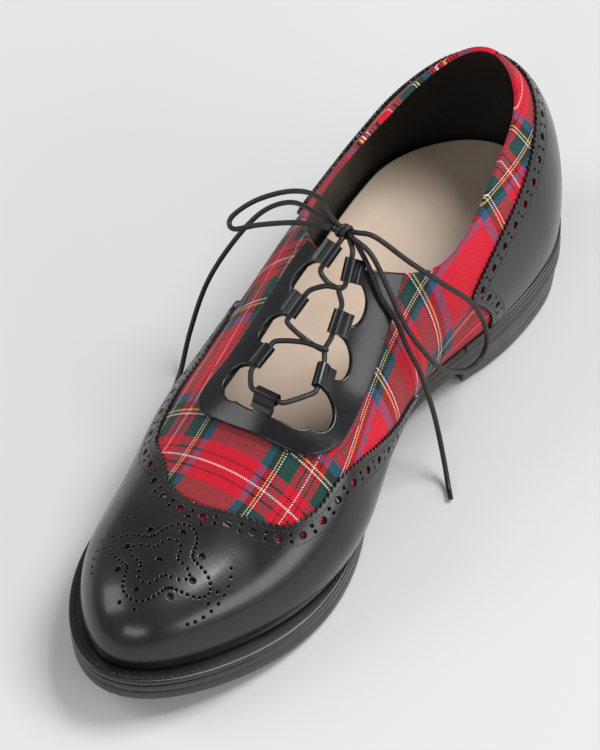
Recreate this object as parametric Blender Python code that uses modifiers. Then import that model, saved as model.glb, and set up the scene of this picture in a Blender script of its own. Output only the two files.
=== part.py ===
"""A ghillie brogue shoe for the right foot: welted double sole, tartan upper, leather overlays,
rolled lace loops around an open throat, and a bow.

X runs to the inner side of the foot, the toe points to -Y, Z is up, and the floor is Z = 0.
"Along" is a distance from the heel end of the upper towards the toe. "Rise" is a height above the
feather line, the edge where the upper meets the sole. "Girth" is a distance around the upper from
its ridge, positive on the inner side.
"""

import functools
import math

import bmesh
import bpy
import numpy as np
from mathutils import Matrix, Vector

MM = 0.001

# Driving sizes of the last
LAST_LENGTH = 280 * MM
BALL_WIDTH = 100 * MM
INSTEP_HEIGHT = 80 * MM
BACK_HEIGHT = 70 * MM
HEEL_HEIGHT = 26.5 * MM
TOE_SPRING = 10.5 * MM

# Thicknesses and clearances
UPPER_WALL = 2.0 * MM
OVERLAY_WALL = 1.2 * MM
EYESTAY_WALL = 1.8 * MM
INSOLE_THICKNESS = 3.5 * MM
WELT_THICKNESS = 2.8 * MM
MIDSOLE_THICKNESS = 3.4 * MM
OUTSOLE_THICKNESS = 4.6 * MM
TOP_PIECE_THICKNESS = 5.5 * MM
GAP = 0.3 * MM
UPPER_SEAT = 0.4 * MM
OVERLAY_SEAT = 1.0 * MM
INSOLE_CLEARANCE = 1.4 * MM
SOLE_THICKNESS = WELT_THICKNESS + MIDSOLE_THICKNESS + OUTSOLE_THICKNESS + 2 * GAP

# Sole profile and end roundings, as shares of the last's length
SEAT_END = 0.20
BALL_START = 0.60
SPRING_START = 0.66
HEEL_ROUNDING = 0.16
TOE_ROUNDING = 0.385
TOE_DROP = 9

# Sole and heel outlines
WELT_INSIDE = 6.0 * MM
HEEL_SETBACK = 0.5 * MM
HEEL_TAPER = 1.6 * MM
BREAST_MEDIAL = 0.33
BREAST_LATERAL = 0.26
BREAST_HOLLOW = 3.0 * MM

# Lace and its loops
LACE_DIAMETER = 2.0 * MM
TUNNEL_DIAMETER = 4.6 * MM
TUNNEL_WALL = 0.9 * MM
TUNNEL_LENGTH = 9.0 * MM
TUNNEL_CLEARANCE = 0.5 * MM
TUNNEL_LIFT = 3.4 * MM
LACE_CLEARANCE = 0.5 * MM
LACE_STRAIGHT = 2 * MM

# Grid of the last
STATIONS = 38
RINGS = 9
EDGE_REACH = 7 * MM
FINE_REACH = 3 * MM

# Sections of the last: half widths, middle, bulges and lean are shares of BALL_WIDTH,
# and the ridge is a share of INSTEP_HEIGHT
COLUMNS = ("medial", "lateral", "middle", "ridge", "bulge_in", "bulge_out", "wall", "crown", "lean")
SECTIONS = {
    0.00: (0.345, 0.345, 0.002, 1.020, 0.050, 0.044, 0.530, 0.580, 0.000),
    0.12: (0.398, 0.398, 0.008, 0.870, 0.042, 0.044, 0.505, 0.536, -0.018),
    0.28: (0.394, 0.394, 0.002, 0.925, 0.060, 0.056, 0.480, 0.504, 0.008),
    0.42: (0.295, 0.393, -0.008, 0.945, 0.240, 0.068, 0.470, 0.442, 0.025),
    0.55: (0.345, 0.427, -0.017, 0.780, 0.250, 0.058, 0.446, 0.390, 0.048),
    0.66: (0.420, 0.445, 0.017, 0.680, 0.190, 0.065, 0.525, 0.481, 0.072),
    0.76: (0.450, 0.436, 0.033, 0.500, 0.100, 0.070, 0.564, 0.549, 0.037),
    0.88: (0.468, 0.439, 0.014, 0.430, 0.045, 0.072, 0.615, 0.634, 0.027),
    1.00: (0.438, 0.430, 0.025, 0.490, 0.040, 0.054, 0.657, 0.665, 0.025),
}

# How far the back of the heel leans out, over the rise, both as shares of BACK_HEIGHT
BACK_CURVE = {0.0: 0.0, 0.29: 0.05, 0.64: 0.0, 0.93: -0.16, 1.57: -0.41}

# Height of the collar, as a share of BACK_HEIGHT
COLLAR = {
    0.00: 0.993, 0.08: 0.857, 0.18: 0.771, 0.28: 0.703, 0.36: 0.751, 0.42: 0.930, 0.48: 1.120,
}

# How far the welt stands out from the upper, as a share of BALL_WIDTH
WELT_MEDIAL = {
    0.0: 0.025, 0.20: 0.022, 0.33: 0.012, 0.42: 0.005, 0.55: 0.007, 0.66: 0.026, 0.80: 0.066,
    1.0: 0.070,
}
WELT_LATERAL = {
    0.0: 0.025, 0.20: 0.022, 0.33: 0.020, 0.42: 0.024, 0.55: 0.040, 0.66: 0.050, 0.80: 0.060,
    1.0: 0.070,
}

# Outlines on the upper, as (share of LAST_LENGTH, girth as a share of BALL_WIDTH)
WING_EDGE = (
    (0.410, -1.15), (0.424, -0.900), (0.452, -0.720), (0.502, -0.516), (0.572, -0.490),
    (0.662, -0.485), (0.716, -0.420), (0.743, -0.301), (0.776, -0.185), (0.788, -0.050),
    (0.776, 0.085), (0.760, 0.214), (0.742, 0.282), (0.708, 0.327), (0.664, 0.345),
    (0.618, 0.405), (0.569, 0.488), (0.510, 0.598), (0.466, 0.672), (0.440, 0.800),
    (0.424, 0.920), (0.410, 1.15),
)
STAY_EDGE = (
    (0.340, -0.080), (0.400, -0.112), (0.430, -0.145), (0.462, -0.180), (0.500, -0.205),
    (0.561, -0.242), (0.600, -0.270), (0.630, -0.298), (0.655, -0.312), (0.673, -0.290),
    (0.683, -0.240), (0.688, -0.130), (0.687, 0.003), (0.680, 0.143), (0.662, 0.231),
    (0.632, 0.291), (0.590, 0.320), (0.549, 0.332), (0.506, 0.332), (0.470, 0.318),
    (0.439, 0.294), (0.400, 0.252), (0.340, 0.200),
)
OPENING_EDGE = (
    (0.340, -0.036), (0.400, -0.036), (0.450, -0.038), (0.519, -0.066), (0.595, -0.120),
    (0.634, -0.145), (0.656, -0.140), (0.662, -0.070), (0.660, 0.030), (0.652, 0.130),
    (0.635, 0.160), (0.580, 0.150), (0.510, 0.132), (0.455, 0.090), (0.400, 0.074), (0.340, 0.070),
)
THROAT_EDGE = (
    (0.340, -0.072), (0.430, -0.092), (0.490, -0.138), (0.560, -0.178), (0.634, -0.240),
    (0.656, -0.232), (0.671, -0.150), (0.674, 0.000), (0.668, 0.120), (0.655, 0.200),
    (0.630, 0.248), (0.600, 0.254), (0.540, 0.246), (0.476, 0.214), (0.430, 0.170), (0.340, 0.125),
)

# Counter outline, as (signed share of LAST_LENGTH, rise as a share of BACK_HEIGHT)
COUNTER_EDGE = (
    (-0.247, -0.20), (-0.252, 0.060), (-0.290, 0.280), (-0.348, 0.590), (-0.257, 0.573),
    (-0.223, 0.593), (-0.147, 0.663), (-0.083, 0.756), (-0.040, 0.820), (0.0, 0.830),
    (0.050, 0.779), (0.115, 0.694), (0.185, 0.597), (0.274, 0.503), (0.326, 0.409),
    (0.306, 0.250), (0.290, 0.090), (0.288, -0.20),
)

# Rolled loops: middle of each, as (share of LAST_LENGTH, girth as a share of BALL_WIDTH), and how
# much its front end turns away in girth
TUNNELS = {
    "lateral_1": (0.451, -0.010, -0.015),
    "lateral_2": (0.519, -0.036, -0.026),
    "lateral_3": (0.594, -0.092, -0.034),
    "front": (0.641, -0.018, 0.0),
    "medial_3": (0.580, 0.120, 0.008),
    "medial_2": (0.510, 0.102, 0.012),
    "medial_1": (0.454, 0.060, 0.030),
}
FRONT_TAB_WIDTH = 7 * MM

# Round bites in the facing between its loops: middle, and radius as a share of BALL_WIDTH
BITES = (
    (0.487, -0.046, 0.068), (0.558, -0.088, 0.071), (0.634, -0.152, 0.072),
    (0.616, 0.160, 0.074), (0.544, 0.156, 0.070), (0.481, 0.122, 0.068),
)

# Where the two laces hook round each other, given as the loops are
HOOKS = {"low": (0.548, 0.100), "high": (0.478, 0.055)}
HOOK_LIFT = 3.0 * MM

# Lace paths off the loops: X as a share of BALL_WIDTH, Y of LAST_LENGTH, and the height over the
# feather line as a share of INSTEP_HEIGHT
KNOT = (0.006, 0.0765, 0.985)
KNOT_HALF = 4 * MM
BOW_LATERAL = (
    (-0.160, 0.104, 0.985), (-0.290, 0.110, 0.900), (-0.415, 0.092, 0.815),
    (-0.485, 0.068, 0.740), (-0.455, 0.056, 0.730), (-0.350, 0.066, 0.800), (-0.190, 0.074, 0.905),
)
BOW_MEDIAL = (
    (0.120, 0.087, 0.990), (0.243, 0.100, 0.852), (0.344, 0.125, 0.663),
    (0.415, 0.155, 0.452), (0.446, 0.169, 0.263), (0.455, 0.172, 0.110), (0.448, 0.155, 0.040),
    (0.445, 0.113, 0.145), (0.436, 0.064, 0.389), (0.395, 0.046, 0.562), (0.328, 0.040, 0.722),
    (0.238, 0.050, 0.878), (0.140, 0.066, 0.970),
)
END_LATERAL = (
    (-0.150, 0.094, 0.915), (-0.290, 0.110, 0.820), (-0.415, 0.104, 0.680),
    (-0.520, 0.084, 0.460), (-0.590, 0.052, 0.240), (-0.610, 0.015, 0.020), (-0.600, -0.020, -0.200),
    (-0.570, -0.055, -0.200),
)
END_MEDIAL = (
    (0.146, 0.057, 0.918), (0.218, 0.044, 0.820), (0.287, 0.041, 0.717),
    (0.343, 0.035, 0.600), (0.399, 0.037, 0.428), (0.435, 0.041, 0.210), (0.465, 0.040, 0.040),
    (0.520, 0.025, -0.110), (0.565, 0.008, -0.200), (0.603, -0.008, -0.200),
)

# Where the laces leave a side of the knot, from its end face: outwards, Y and Z
PORTS = {
    "loop_out": (0.45 * MM, 1.25 * MM, 0.9 * MM),
    "loop_back": (0.45 * MM, -1.25 * MM, 0.3 * MM),
    "end": (0.45 * MM, 0.0 * MM, -2.0 * MM),
}

MATERIALS = {
    "cloth": ((0.45, 0.02, 0.03), 0.85),
    "leather": ((0.012, 0.011, 0.012), 0.25),
    "sole leather": ((0.016, 0.014, 0.013), 0.35),
    "sock": ((0.72, 0.55, 0.40), 0.6),
    "lace": ((0.015, 0.015, 0.016), 0.5),
}


def clear_scene():
    for thing in list(bpy.data.objects):
        bpy.data.objects.remove(thing, do_unlink=True)


def collection(name):
    made = bpy.data.collections.new(name)
    bpy.context.scene.collection.children.link(made)
    return made


@functools.cache
def spline_knots(rows):
    """The knots of a natural cubic spline, with its second derivatives."""
    xs, ys = np.array(rows, float).T
    count = len(xs)
    steps = np.diff(xs)
    matrix = np.eye(count)
    right = np.zeros(count)
    for i in range(1, count - 1):
        matrix[i, i - 1 : i + 2] = steps[i - 1], 2 * (steps[i - 1] + steps[i]), steps[i]
        right[i] = 6 * ((ys[i + 1] - ys[i]) / steps[i] - (ys[i] - ys[i - 1]) / steps[i - 1])
    return xs, ys, np.linalg.solve(matrix, right)


def spline(table, at):
    xs, ys, bends = spline_knots(tuple(table.items()))
    at = np.asarray(at, float)
    i = np.clip(np.searchsorted(xs, at) - 1, 0, len(xs) - 2)
    step = xs[i + 1] - xs[i]
    b = (at - xs[i]) / step
    a = 1 - b
    curve = (a**3 - a) * bends[i] + (b**3 - b) * bends[i + 1]
    return a * ys[i] + b * ys[i + 1] + curve * step**2 / 6


def column(name, along):
    i = COLUMNS.index(name)
    return spline({share: row[i] for share, row in SECTIONS.items()}, along / LAST_LENGTH)


def end_rounding(along):
    """Closes the half widths at the heel and the toe."""
    heel = np.clip(1 - along / (HEEL_ROUNDING * LAST_LENGTH), 0, 1)
    toe = np.clip((along / LAST_LENGTH - 1) / TOE_ROUNDING + 1, 0, 1)
    return np.sqrt(1 - heel**2) * (1 - toe**1.9) ** (1 / 1.9)


def half_width(along, side):
    name = "medial" if side > 0 else "lateral"
    return column(name, along) * BALL_WIDTH * end_rounding(along)


def middle(along):
    return column("middle", along) * BALL_WIDTH


def feather(along):
    """Height of the feather line over the floor."""
    share = np.asarray(along, float) / LAST_LENGTH
    k = np.clip((share - SEAT_END) / (BALL_START - SEAT_END), 0, 1)
    fall = k * k * (3 - 2 * k)
    spring = np.maximum(0, (share - SPRING_START) / (1 - SPRING_START))
    return HEEL_HEIGHT + (SOLE_THICKNESS - HEEL_HEIGHT) * fall + TOE_SPRING * spring**2


def ridge(along):
    drop = np.sqrt(np.clip(1 - (along / LAST_LENGTH) ** TOE_DROP, 0, 1))
    return column("ridge", along) * INSTEP_HEIGHT * drop


def last_point(along, v, side):
    """A point of the upper's outside: v runs from 0 at the feather line to 1 at the ridge."""
    along, v = np.broadcast_arrays(np.asarray(along, float), np.asarray(v, float))
    half = half_width(along, side)
    end = end_rounding(along)
    bulge = column("bulge_in" if side > 0 else "bulge_out", along) * BALL_WIDTH
    top = column("lean", along) * BALL_WIDTH * end * side
    shoulder = top + column("crown", along) * (half - top)
    across = (
        (1 - v) ** 3 * half
        + 3 * v * (1 - v) ** 2 * (half + bulge * end)
        + 3 * v * v * (1 - v) * shoulder
        + v**3 * top
    )
    rise = ridge(along) * (3 * v * (1 - v) ** 2 * column("wall", along) + 3 * v * v * (1 - v) + v**3)
    fade = np.clip(1 - along / (0.30 * LAST_LENGTH), 0, 1) ** 2
    back = spline(BACK_CURVE, rise / BACK_HEIGHT) * BACK_HEIGHT * fade
    x = middle(along) + side * across
    y = LAST_LENGTH / 2 - along + back
    return np.stack([x, y, feather(along) + UPPER_SEAT + rise], -1)


def section_girths(along, v, side):
    """Signed girths of the points v of one section, measured on a fine copy of it."""
    fine = np.linspace(0, 1, 81)
    points = last_point(along, fine, side)
    lengths = np.concatenate([[0], np.cumsum(np.linalg.norm(np.diff(points, axis=0), axis=1))])
    return side * (lengths[-1] - np.interp(v, fine, lengths))


def on_last(share, girth_share):
    """The point and the outward normal at a place given as in the outline tables."""
    along = share * LAST_LENGTH
    girth = girth_share * BALL_WIDTH
    side = 1.0 if girth > 0 else -1.0
    fine = np.linspace(1, 0, 201)
    v = float(np.interp(abs(girth), abs(section_girths(along, fine, side)), fine))
    step = 1e-3
    if v > 1 - 2 * step:
        v = 1 - 2 * step
    here = last_point(along, v, side)
    ahead = last_point(along + 0.5 * MM, v, side) - here
    down = last_point(along, v - step, side) - here
    normal = np.cross(ahead, down) * side
    return Vector(here), Vector(normal).normalized()


def outline(along, side, offset):
    """The feather line in plan, moved outwards by an offset."""
    step = 0.05 * MM
    along = np.clip(along, 2 * step, LAST_LENGTH - 2 * step)

    def plain(at):
        return np.stack([middle(at) + side * half_width(at, side), LAST_LENGTH / 2 - at], -1)

    tangent = plain(along + step) - plain(along - step)
    tangent /= np.linalg.norm(tangent, axis=-1, keepdims=True)
    normal = np.stack([-tangent[..., 1], tangent[..., 0]], -1) * side
    return plain(along) + normal * np.asarray(offset)[..., None]


def welt_offset(along, side):
    table = WELT_MEDIAL if side > 0 else WELT_LATERAL
    return spline(table, along / LAST_LENGTH) * BALL_WIDTH


def stations(first, last, count):
    """Places between two distances along, closer together near the ends of the last."""
    turn = np.arccos(1 - 2 * np.array([first, last]) / LAST_LENGTH)
    return LAST_LENGTH * (1 - np.cos(np.linspace(turn[0], turn[1], count))) / 2


def smooth_line(points, steps=4):
    """Points of a curve through the given ones, evenly spread between each two."""
    points = np.array(points, float)
    ends = np.vstack([2 * points[0] - points[1], points, 2 * points[-1] - points[-2]])
    t = np.arange(steps)[:, None] / steps
    made = []
    for a, b, c, d in zip(ends, ends[1:], ends[2:], ends[3:]):
        cubic = (3 * (b - c) + d - a) * t**3 + (2 * a - 5 * b + 4 * c - d) * t**2
        made.append(b + ((c - a) * t + cubic) / 2)
    return np.vstack([*made, points[-1:]])


def inside(polygon, points):
    """Signed distance of points from a closed polygon, positive inside."""
    starts = polygon
    sides = np.roll(polygon, -1, 0) - polygon
    to_points = points[:, None] - starts
    t = np.clip((to_points * sides).sum(-1) / (sides**2).sum(-1), 0, 1)
    nearest = np.linalg.norm(to_points - t[..., None] * sides, axis=-1).min(1)
    ends = starts + sides
    crosses = (starts[:, 1] > points[:, None, 1]) != (ends[:, 1] > points[:, None, 1])
    rise = np.where(sides[:, 1] == 0, 1, sides[:, 1])
    meet = starts[:, 0] + sides[:, 0] * (points[:, None, 1] - starts[:, 1]) / rise
    odd = (crosses & (points[:, None, 0] < meet)).sum(1) % 2 == 1
    return np.where(odd, nearest, -nearest)


SCALE = np.array([LAST_LENGTH, BALL_WIDTH])
WING = smooth_line(WING_EDGE) * SCALE
STAY = smooth_line(STAY_EDGE) * SCALE
OPENING = smooth_line(OPENING_EDGE) * SCALE
THROAT = smooth_line(THROAT_EDGE) * SCALE
COUNTER = smooth_line(COUNTER_EDGE, 3) * np.array([LAST_LENGTH, BACK_HEIGHT])


def collar_field(places):
    height = spline(COLLAR, places["along"] / LAST_LENGTH) * BACK_HEIGHT
    return height - places["rise"]


def throat_field(places):
    return inside(THROAT, np.stack([places["along"], places["girth"]], -1))


def upper_field(places):
    return np.minimum(collar_field(places), -throat_field(places))


def wing_field(places):
    beyond = [[2 * LAST_LENGTH, 3 * BALL_WIDTH], [2 * LAST_LENGTH, -3 * BALL_WIDTH]]
    toe_side = np.vstack([WING, beyond])
    field = inside(toe_side, np.stack([places["along"], places["girth"]], -1))
    return np.minimum(field, places["rise"] - OVERLAY_SEAT)


def counter_field(places):
    signed = places["along"] * places["side"]
    field = inside(COUNTER, np.stack([signed, places["rise"]], -1))
    return np.minimum(field, places["rise"] - OVERLAY_SEAT)


def eyestay_field(places):
    """The facing: a band around the opening, bitten round between the loops, with a tab in front."""
    points = np.stack([places["along"], places["girth"]], -1)
    opening = inside(OPENING, points)
    for share, girth, radius in BITES:
        away = np.linalg.norm(points - np.array([share, girth]) * SCALE, axis=1)
        opening = np.maximum(opening, radius * BALL_WIDTH - away)
    tip = np.array(TUNNELS["front"][:2]) * SCALE
    tip[0] += TUNNEL_DIAMETER / 2 + TUNNEL_CLEARANCE
    offset = points - tip
    tab = np.minimum(offset[:, 0], FRONT_TAB_WIDTH / 2 - abs(offset[:, 1]))
    field = np.minimum(inside(STAY, points), np.maximum(-opening, tab))
    return np.minimum(field, collar_field(places))


def last_grid():
    """A triangulated sheet of the whole outside of the last."""
    bm = bmesh.new()
    layers = {name: bm.verts.layers.float.new(name) for name in ("along", "side", "girth", "rise")}
    alongs = stations(0, LAST_LENGTH, STATIONS + 1)
    rings = RINGS
    v = np.linspace(0, 1, rings + 1)
    grid = []
    for along in alongs:
        row = []
        for side in (-1.0, 1.0):
            points = last_point(along, v, side)
            girths = section_girths(along, v, side)
            order = range(rings + 1) if side < 0 else range(rings - 1, -1, -1)
            for j in order:
                vert = bm.verts.new(points[j])
                vert[layers["along"]] = along
                vert[layers["side"]] = side if j < rings else 0.0
                vert[layers["girth"]] = girths[j]
                vert[layers["rise"]] = points[j][2] - feather(along) - UPPER_SEAT
                row.append(vert)
        grid.append(row)
    for near, far in zip(grid, grid[1:]):
        for j in range(2 * rings):
            corners = (near[j], far[j], far[j + 1], near[j + 1])
            split = (0, 2) if j >= rings else (1, 3)
            a, b = split
            bm.faces.new((corners[a], corners[(a + 1) % 4], corners[b]))
            bm.faces.new((corners[b], corners[(b + 1) % 4], corners[a]))
    bmesh.ops.remove_doubles(bm, verts=bm.verts, dist=1e-7)
    bm.normal_update()
    return bm, layers


def read_places(verts, layers):
    return {name: np.array([vert[layer] for vert in verts]) for name, layer in layers.items()}


def refine(bm, layers, field, reach, nearness, steps):
    """Splits the triangles that the field's edge passes, without moving the surface."""
    for _ in range(steps):
        verts = list(bm.verts)
        values = dict(zip(verts, field(read_places(verts, layers))))
        near = []
        for edge in bm.edges:
            a, b = (values[vert] for vert in edge.verts)
            length = edge.calc_length()
            close = a * b < 0 or min(abs(a), abs(b)) < nearness * length
            if close and length > reach:
                near.append(edge)
        if not near:
            return
        bmesh.ops.subdivide_edges(bm, edges=near, cuts=1)
        bmesh.ops.triangulate(bm, faces=bm.faces)


def cut_away(bm, layers, field):
    """Cuts the sheet where the field is zero and keeps the side where it is positive."""
    verts = list(bm.verts)
    values = field(read_places(verts, layers))
    values[abs(values) < 0.2 * MM] = 0.0
    marks = dict(zip(verts, values))
    for edge in list(bm.edges):
        a, b = edge.verts
        if marks[a] * marks[b] < 0:
            share = marks[a] / (marks[a] - marks[b])
            _, made = bmesh.utils.edge_split(edge, a, share)
            for layer in layers.values():
                made[layer] = a[layer] + (b[layer] - a[layer]) * share
            marks[made] = 0.0
    for face in list(bm.faces):
        signs = {np.sign(marks[vert]) for vert in face.verts}
        if len(signs) < 3:
            continue
        zeros = [vert for vert in face.verts if marks[vert] == 0]
        bmesh.utils.face_split(face, *zeros)
    outside = [face for face in bm.faces if min(marks[vert] for vert in face.verts) < 0]
    bmesh.ops.delete(bm, geom=outside, context="FACES")
    flat = [face for face in bm.faces if face.calc_area() < 1e-12]
    bmesh.ops.delete(bm, geom=flat, context="FACES")
    keep_largest(bm)
    bmesh.ops.triangulate(bm, faces=bm.faces)


def keep_largest(bm):
    """Keeps the largest connected patch of a sheet."""
    left = set(bm.faces)
    patches = []
    while left:
        patch = [left.pop()]
        for face in patch:
            for edge in face.edges:
                for other in edge.link_faces:
                    if other in left:
                        left.remove(other)
                        patch.append(other)
        patches.append(patch)
    patches.sort(key=len)
    for patch in patches[:-1]:
        bmesh.ops.delete(bm, geom=patch, context="FACES")


def to_object(name, bm, group, material):
    mesh = bpy.data.meshes.new(name)
    bm.to_mesh(mesh)
    bm.free()
    thing = bpy.data.objects.new(name, mesh)
    group.objects.link(thing)
    thing.data.materials.append(new_material(name, material))
    return thing


def new_material(name, kind):
    color, roughness = MATERIALS[kind]
    material = bpy.data.materials.new(name)
    material.use_nodes = True
    shader = material.node_tree.nodes["Principled BSDF"]
    shader.inputs["Base Color"].default_value = (*color, 1)
    shader.inputs["Roughness"].default_value = roughness
    return material


def shell(name, group, material, field, lift, wall, outwards, fine=False):
    """A piece cut from the last's surface, lifted off it and thickened."""
    bm, layers = last_grid()
    lifts = [bm.verts.layers.float.new(f"lift_{axis}") for axis in "xyz"]
    layers |= dict(zip(("lift_x", "lift_y", "lift_z"), lifts))
    for vert in bm.verts:
        for layer, value in zip(lifts, vert.normal):
            vert[layer] = value
    if fine:
        refine(bm, layers, field, FINE_REACH, 0.4, 3)
    else:
        refine(bm, layers, field, EDGE_REACH, 0, 1)
    cut_away(bm, layers, field)
    bmesh.ops.remove_doubles(bm, verts=bm.verts, dist=0.05 * MM)
    bmesh.ops.dissolve_limit(bm, angle_limit=math.radians(0.2), verts=bm.verts, edges=bm.edges)
    bmesh.ops.triangulate(bm, faces=bm.faces)
    for vert in bm.verts:
        vert.co += Vector([vert[layer] for layer in lifts]) * lift
    thing = to_object(name, bm, group, material)
    solid = thing.modifiers.new("wall", "SOLIDIFY")
    solid.thickness = wall
    solid.offset = 1 if outwards else -1
    solid.use_even_offset = False
    return thing


def strip_solid(name, group, material, top, bottom):
    """A closed solid between a grid of top points and the matching grid of bottom points."""
    rows, across = top.shape[:2]
    bm = bmesh.new()
    upper = [[bm.verts.new(point) for point in row] for row in top]
    lower = [[bm.verts.new(point) for point in row] for row in bottom]
    for i in range(rows - 1):
        for j in range(across - 1):
            bm.faces.new((upper[i][j], upper[i][j + 1], upper[i + 1][j + 1], upper[i + 1][j]))
            bm.faces.new((lower[i][j], lower[i + 1][j], lower[i + 1][j + 1], lower[i][j + 1]))
        bm.faces.new((upper[i][0], upper[i + 1][0], lower[i + 1][0], lower[i][0]))
        bm.faces.new((upper[i][-1], lower[i][-1], lower[i + 1][-1], upper[i + 1][-1]))
    for j in range(across - 1):
        bm.faces.new((upper[0][j], lower[0][j], lower[0][j + 1], upper[0][j + 1]))
        bm.faces.new((upper[-1][j], upper[-1][j + 1], lower[-1][j + 1], lower[-1][j]))
    bmesh.ops.recalc_face_normals(bm, faces=bm.faces)
    if bm.calc_volume(signed=True) < 0:
        bmesh.ops.reverse_faces(bm, faces=bm.faces)
    return to_object(name, bm, group, material)


def raised(plan, drop):
    """Points of a plan set on the feather line's height, less a drop."""
    height = feather(LAST_LENGTH / 2 - plan[..., 1]) - drop
    return np.concatenate([plan, height[..., None]], -1)


def full_slab(name, group, material, offset, drop, thickness):
    """A layer that runs under the whole shoe."""
    places = stations(0, LAST_LENGTH, STATIONS + 1)
    plan = np.stack([outline(places, side, offset(places, side)) for side in (-1.0, 1.0)], 1)
    return strip_solid(name, group, material, raised(plan, drop), raised(plan, drop + thickness))


def rim_slab(name, group, material, toe):
    """The welt around the forepart, or the rand around the seat."""
    sides = []
    for side, breast in ((-1.0, BREAST_LATERAL), (1.0, BREAST_MEDIAL)):
        start = breast * LAST_LENGTH
        if toe:
            places = stations(start + GAP, LAST_LENGTH, 30)
        else:
            places = stations(start - GAP, 0, 14)
        outer = outline(places, side, welt_offset(places, side))
        inner = outline(places, side, np.full(len(places), -WELT_INSIDE))
        sides.append(np.stack([outer, inner], 1))
    plan = np.vstack([sides[0], sides[1][::-1]])
    return strip_solid(name, group, material, raised(plan, 0), raised(plan, WELT_THICKNESS))


def heel_plan(inset, hollow_rows=7):
    """Rows across the heel from its back to its hollow breast."""
    across = np.linspace(-1, 1, 7)
    shares = np.linspace(0, 1, hollow_rows + 5) ** 1.6
    rows = []
    for share in shares:
        left_at = share * BREAST_LATERAL * LAST_LENGTH
        right_at = share * BREAST_MEDIAL * LAST_LENGTH
        left_offset = welt_offset(left_at, -1.0) - HEEL_SETBACK - inset
        right_offset = welt_offset(right_at, 1.0) - HEEL_SETBACK - inset
        left = outline(left_at, -1.0, left_offset)
        right = outline(right_at, 1.0, right_offset)
        row = left + (right - left) * ((across + 1) / 2)[:, None]
        row[:, 1] += BREAST_HOLLOW * share**3 * (1 - across**2)
        rows.append(row)
    return np.array(rows)


def heel_slab(name, group, material, top_inset, bottom_inset, top, bottom):
    upper = heel_plan(top_inset)
    lower = heel_plan(bottom_inset)
    if top is None:
        upper = raised(upper, SOLE_THICKNESS + GAP)
    else:
        upper = np.concatenate([upper, np.full((*upper.shape[:2], 1), top)], -1)
    lower = np.concatenate([lower, np.full((*lower.shape[:2], 1), bottom)], -1)
    return strip_solid(name, group, material, upper, lower)


def tunnel_frame(name):
    """The middle, the axis and the outward normal of a rolled loop; its axis points back or in."""
    share, girth, turn = TUNNELS[name]
    place, normal = on_last(share, girth)
    if name == "front":
        ahead = on_last(share, girth + 0.05)[0] - on_last(share, girth - 0.05)[0]
    else:
        reach = TUNNEL_LENGTH / 2 / LAST_LENGTH
        back = on_last(share - reach, girth - turn / 2)[0]
        ahead = back - on_last(share + reach, girth + turn / 2)[0]
    axis = (ahead - normal * ahead.dot(normal)).normalized()
    return place + normal * TUNNEL_LIFT, axis, normal


def tunnel(name, group):
    middle_point, axis, normal = tunnel_frame(name)
    bm = bmesh.new()
    radius = TUNNEL_DIAMETER / 2
    bmesh.ops.create_cone(
        bm, cap_ends=False, segments=10, radius1=radius, radius2=radius, depth=TUNNEL_LENGTH
    )
    across = axis.cross(normal)
    turn = Matrix((across, normal, axis)).transposed()
    if turn.determinant() < 0:
        turn = Matrix((-across, normal, axis)).transposed()
    bmesh.ops.transform(bm, matrix=Matrix.Translation(middle_point) @ turn.to_4x4(), verts=bm.verts)
    bmesh.ops.recalc_face_normals(bm, faces=bm.faces)
    thing = to_object(f"lace_tunnel_{name}", bm, group, "leather")
    solid = thing.modifiers.new("wall", "SOLIDIFY")
    solid.thickness = TUNNEL_WALL
    solid.offset = -1
    return thing


def tunnel_mouth(name, way):
    """A place just outside a loop's mouth: way is 1 towards the axis's end, -1 to its start."""
    middle_point, axis, _ = tunnel_frame(name)
    return middle_point + axis * way * (TUNNEL_LENGTH / 2 + LACE_CLEARANCE)


def lace_curve(name, points, group, radius=LACE_DIAMETER / 2, steps=2, closed=False):
    """A round lace along a smooth line through the points."""
    line = smooth_line([tuple(point) for point in points], steps)
    data = bpy.data.curves.new(name, "CURVE")
    data.dimensions = "3D"
    data.bevel_depth = radius
    data.bevel_resolution = 1
    data.use_fill_caps = True
    piece = data.splines.new("POLY")
    piece.points.add(len(line) - 1)
    for knot, point in zip(piece.points, line):
        knot.co = (*point, 1)
    piece.use_cyclic_u = closed
    thing = bpy.data.objects.new(name, data)
    group.objects.link(thing)
    data.materials.append(new_material(name, "lace"))
    return thing


def joined(name, curves, group):
    """One solid made of several laces that touch."""
    made = []
    for curve in curves:
        bpy.context.view_layer.update()
        graph = bpy.context.evaluated_depsgraph_get()
        mesh = bpy.data.meshes.new_from_object(curve.evaluated_get(graph))
        helper = bpy.data.objects.new(curve.name, mesh)
        bpy.data.objects.remove(curve, do_unlink=True)
        made.append(helper)
    base = made[0]
    base.name = name
    group.objects.link(base)
    base.data.materials.clear()
    base.data.materials.append(new_material(name, "lace"))
    for helper in made[1:]:
        helpers.objects.link(helper)
        helper.hide_render = True
        helper.hide_viewport = False
        union = base.modifiers.new("join", "BOOLEAN")
        union.operation = "UNION"
        union.object = helper
        union.solver = "EXACT"
    return base


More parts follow.
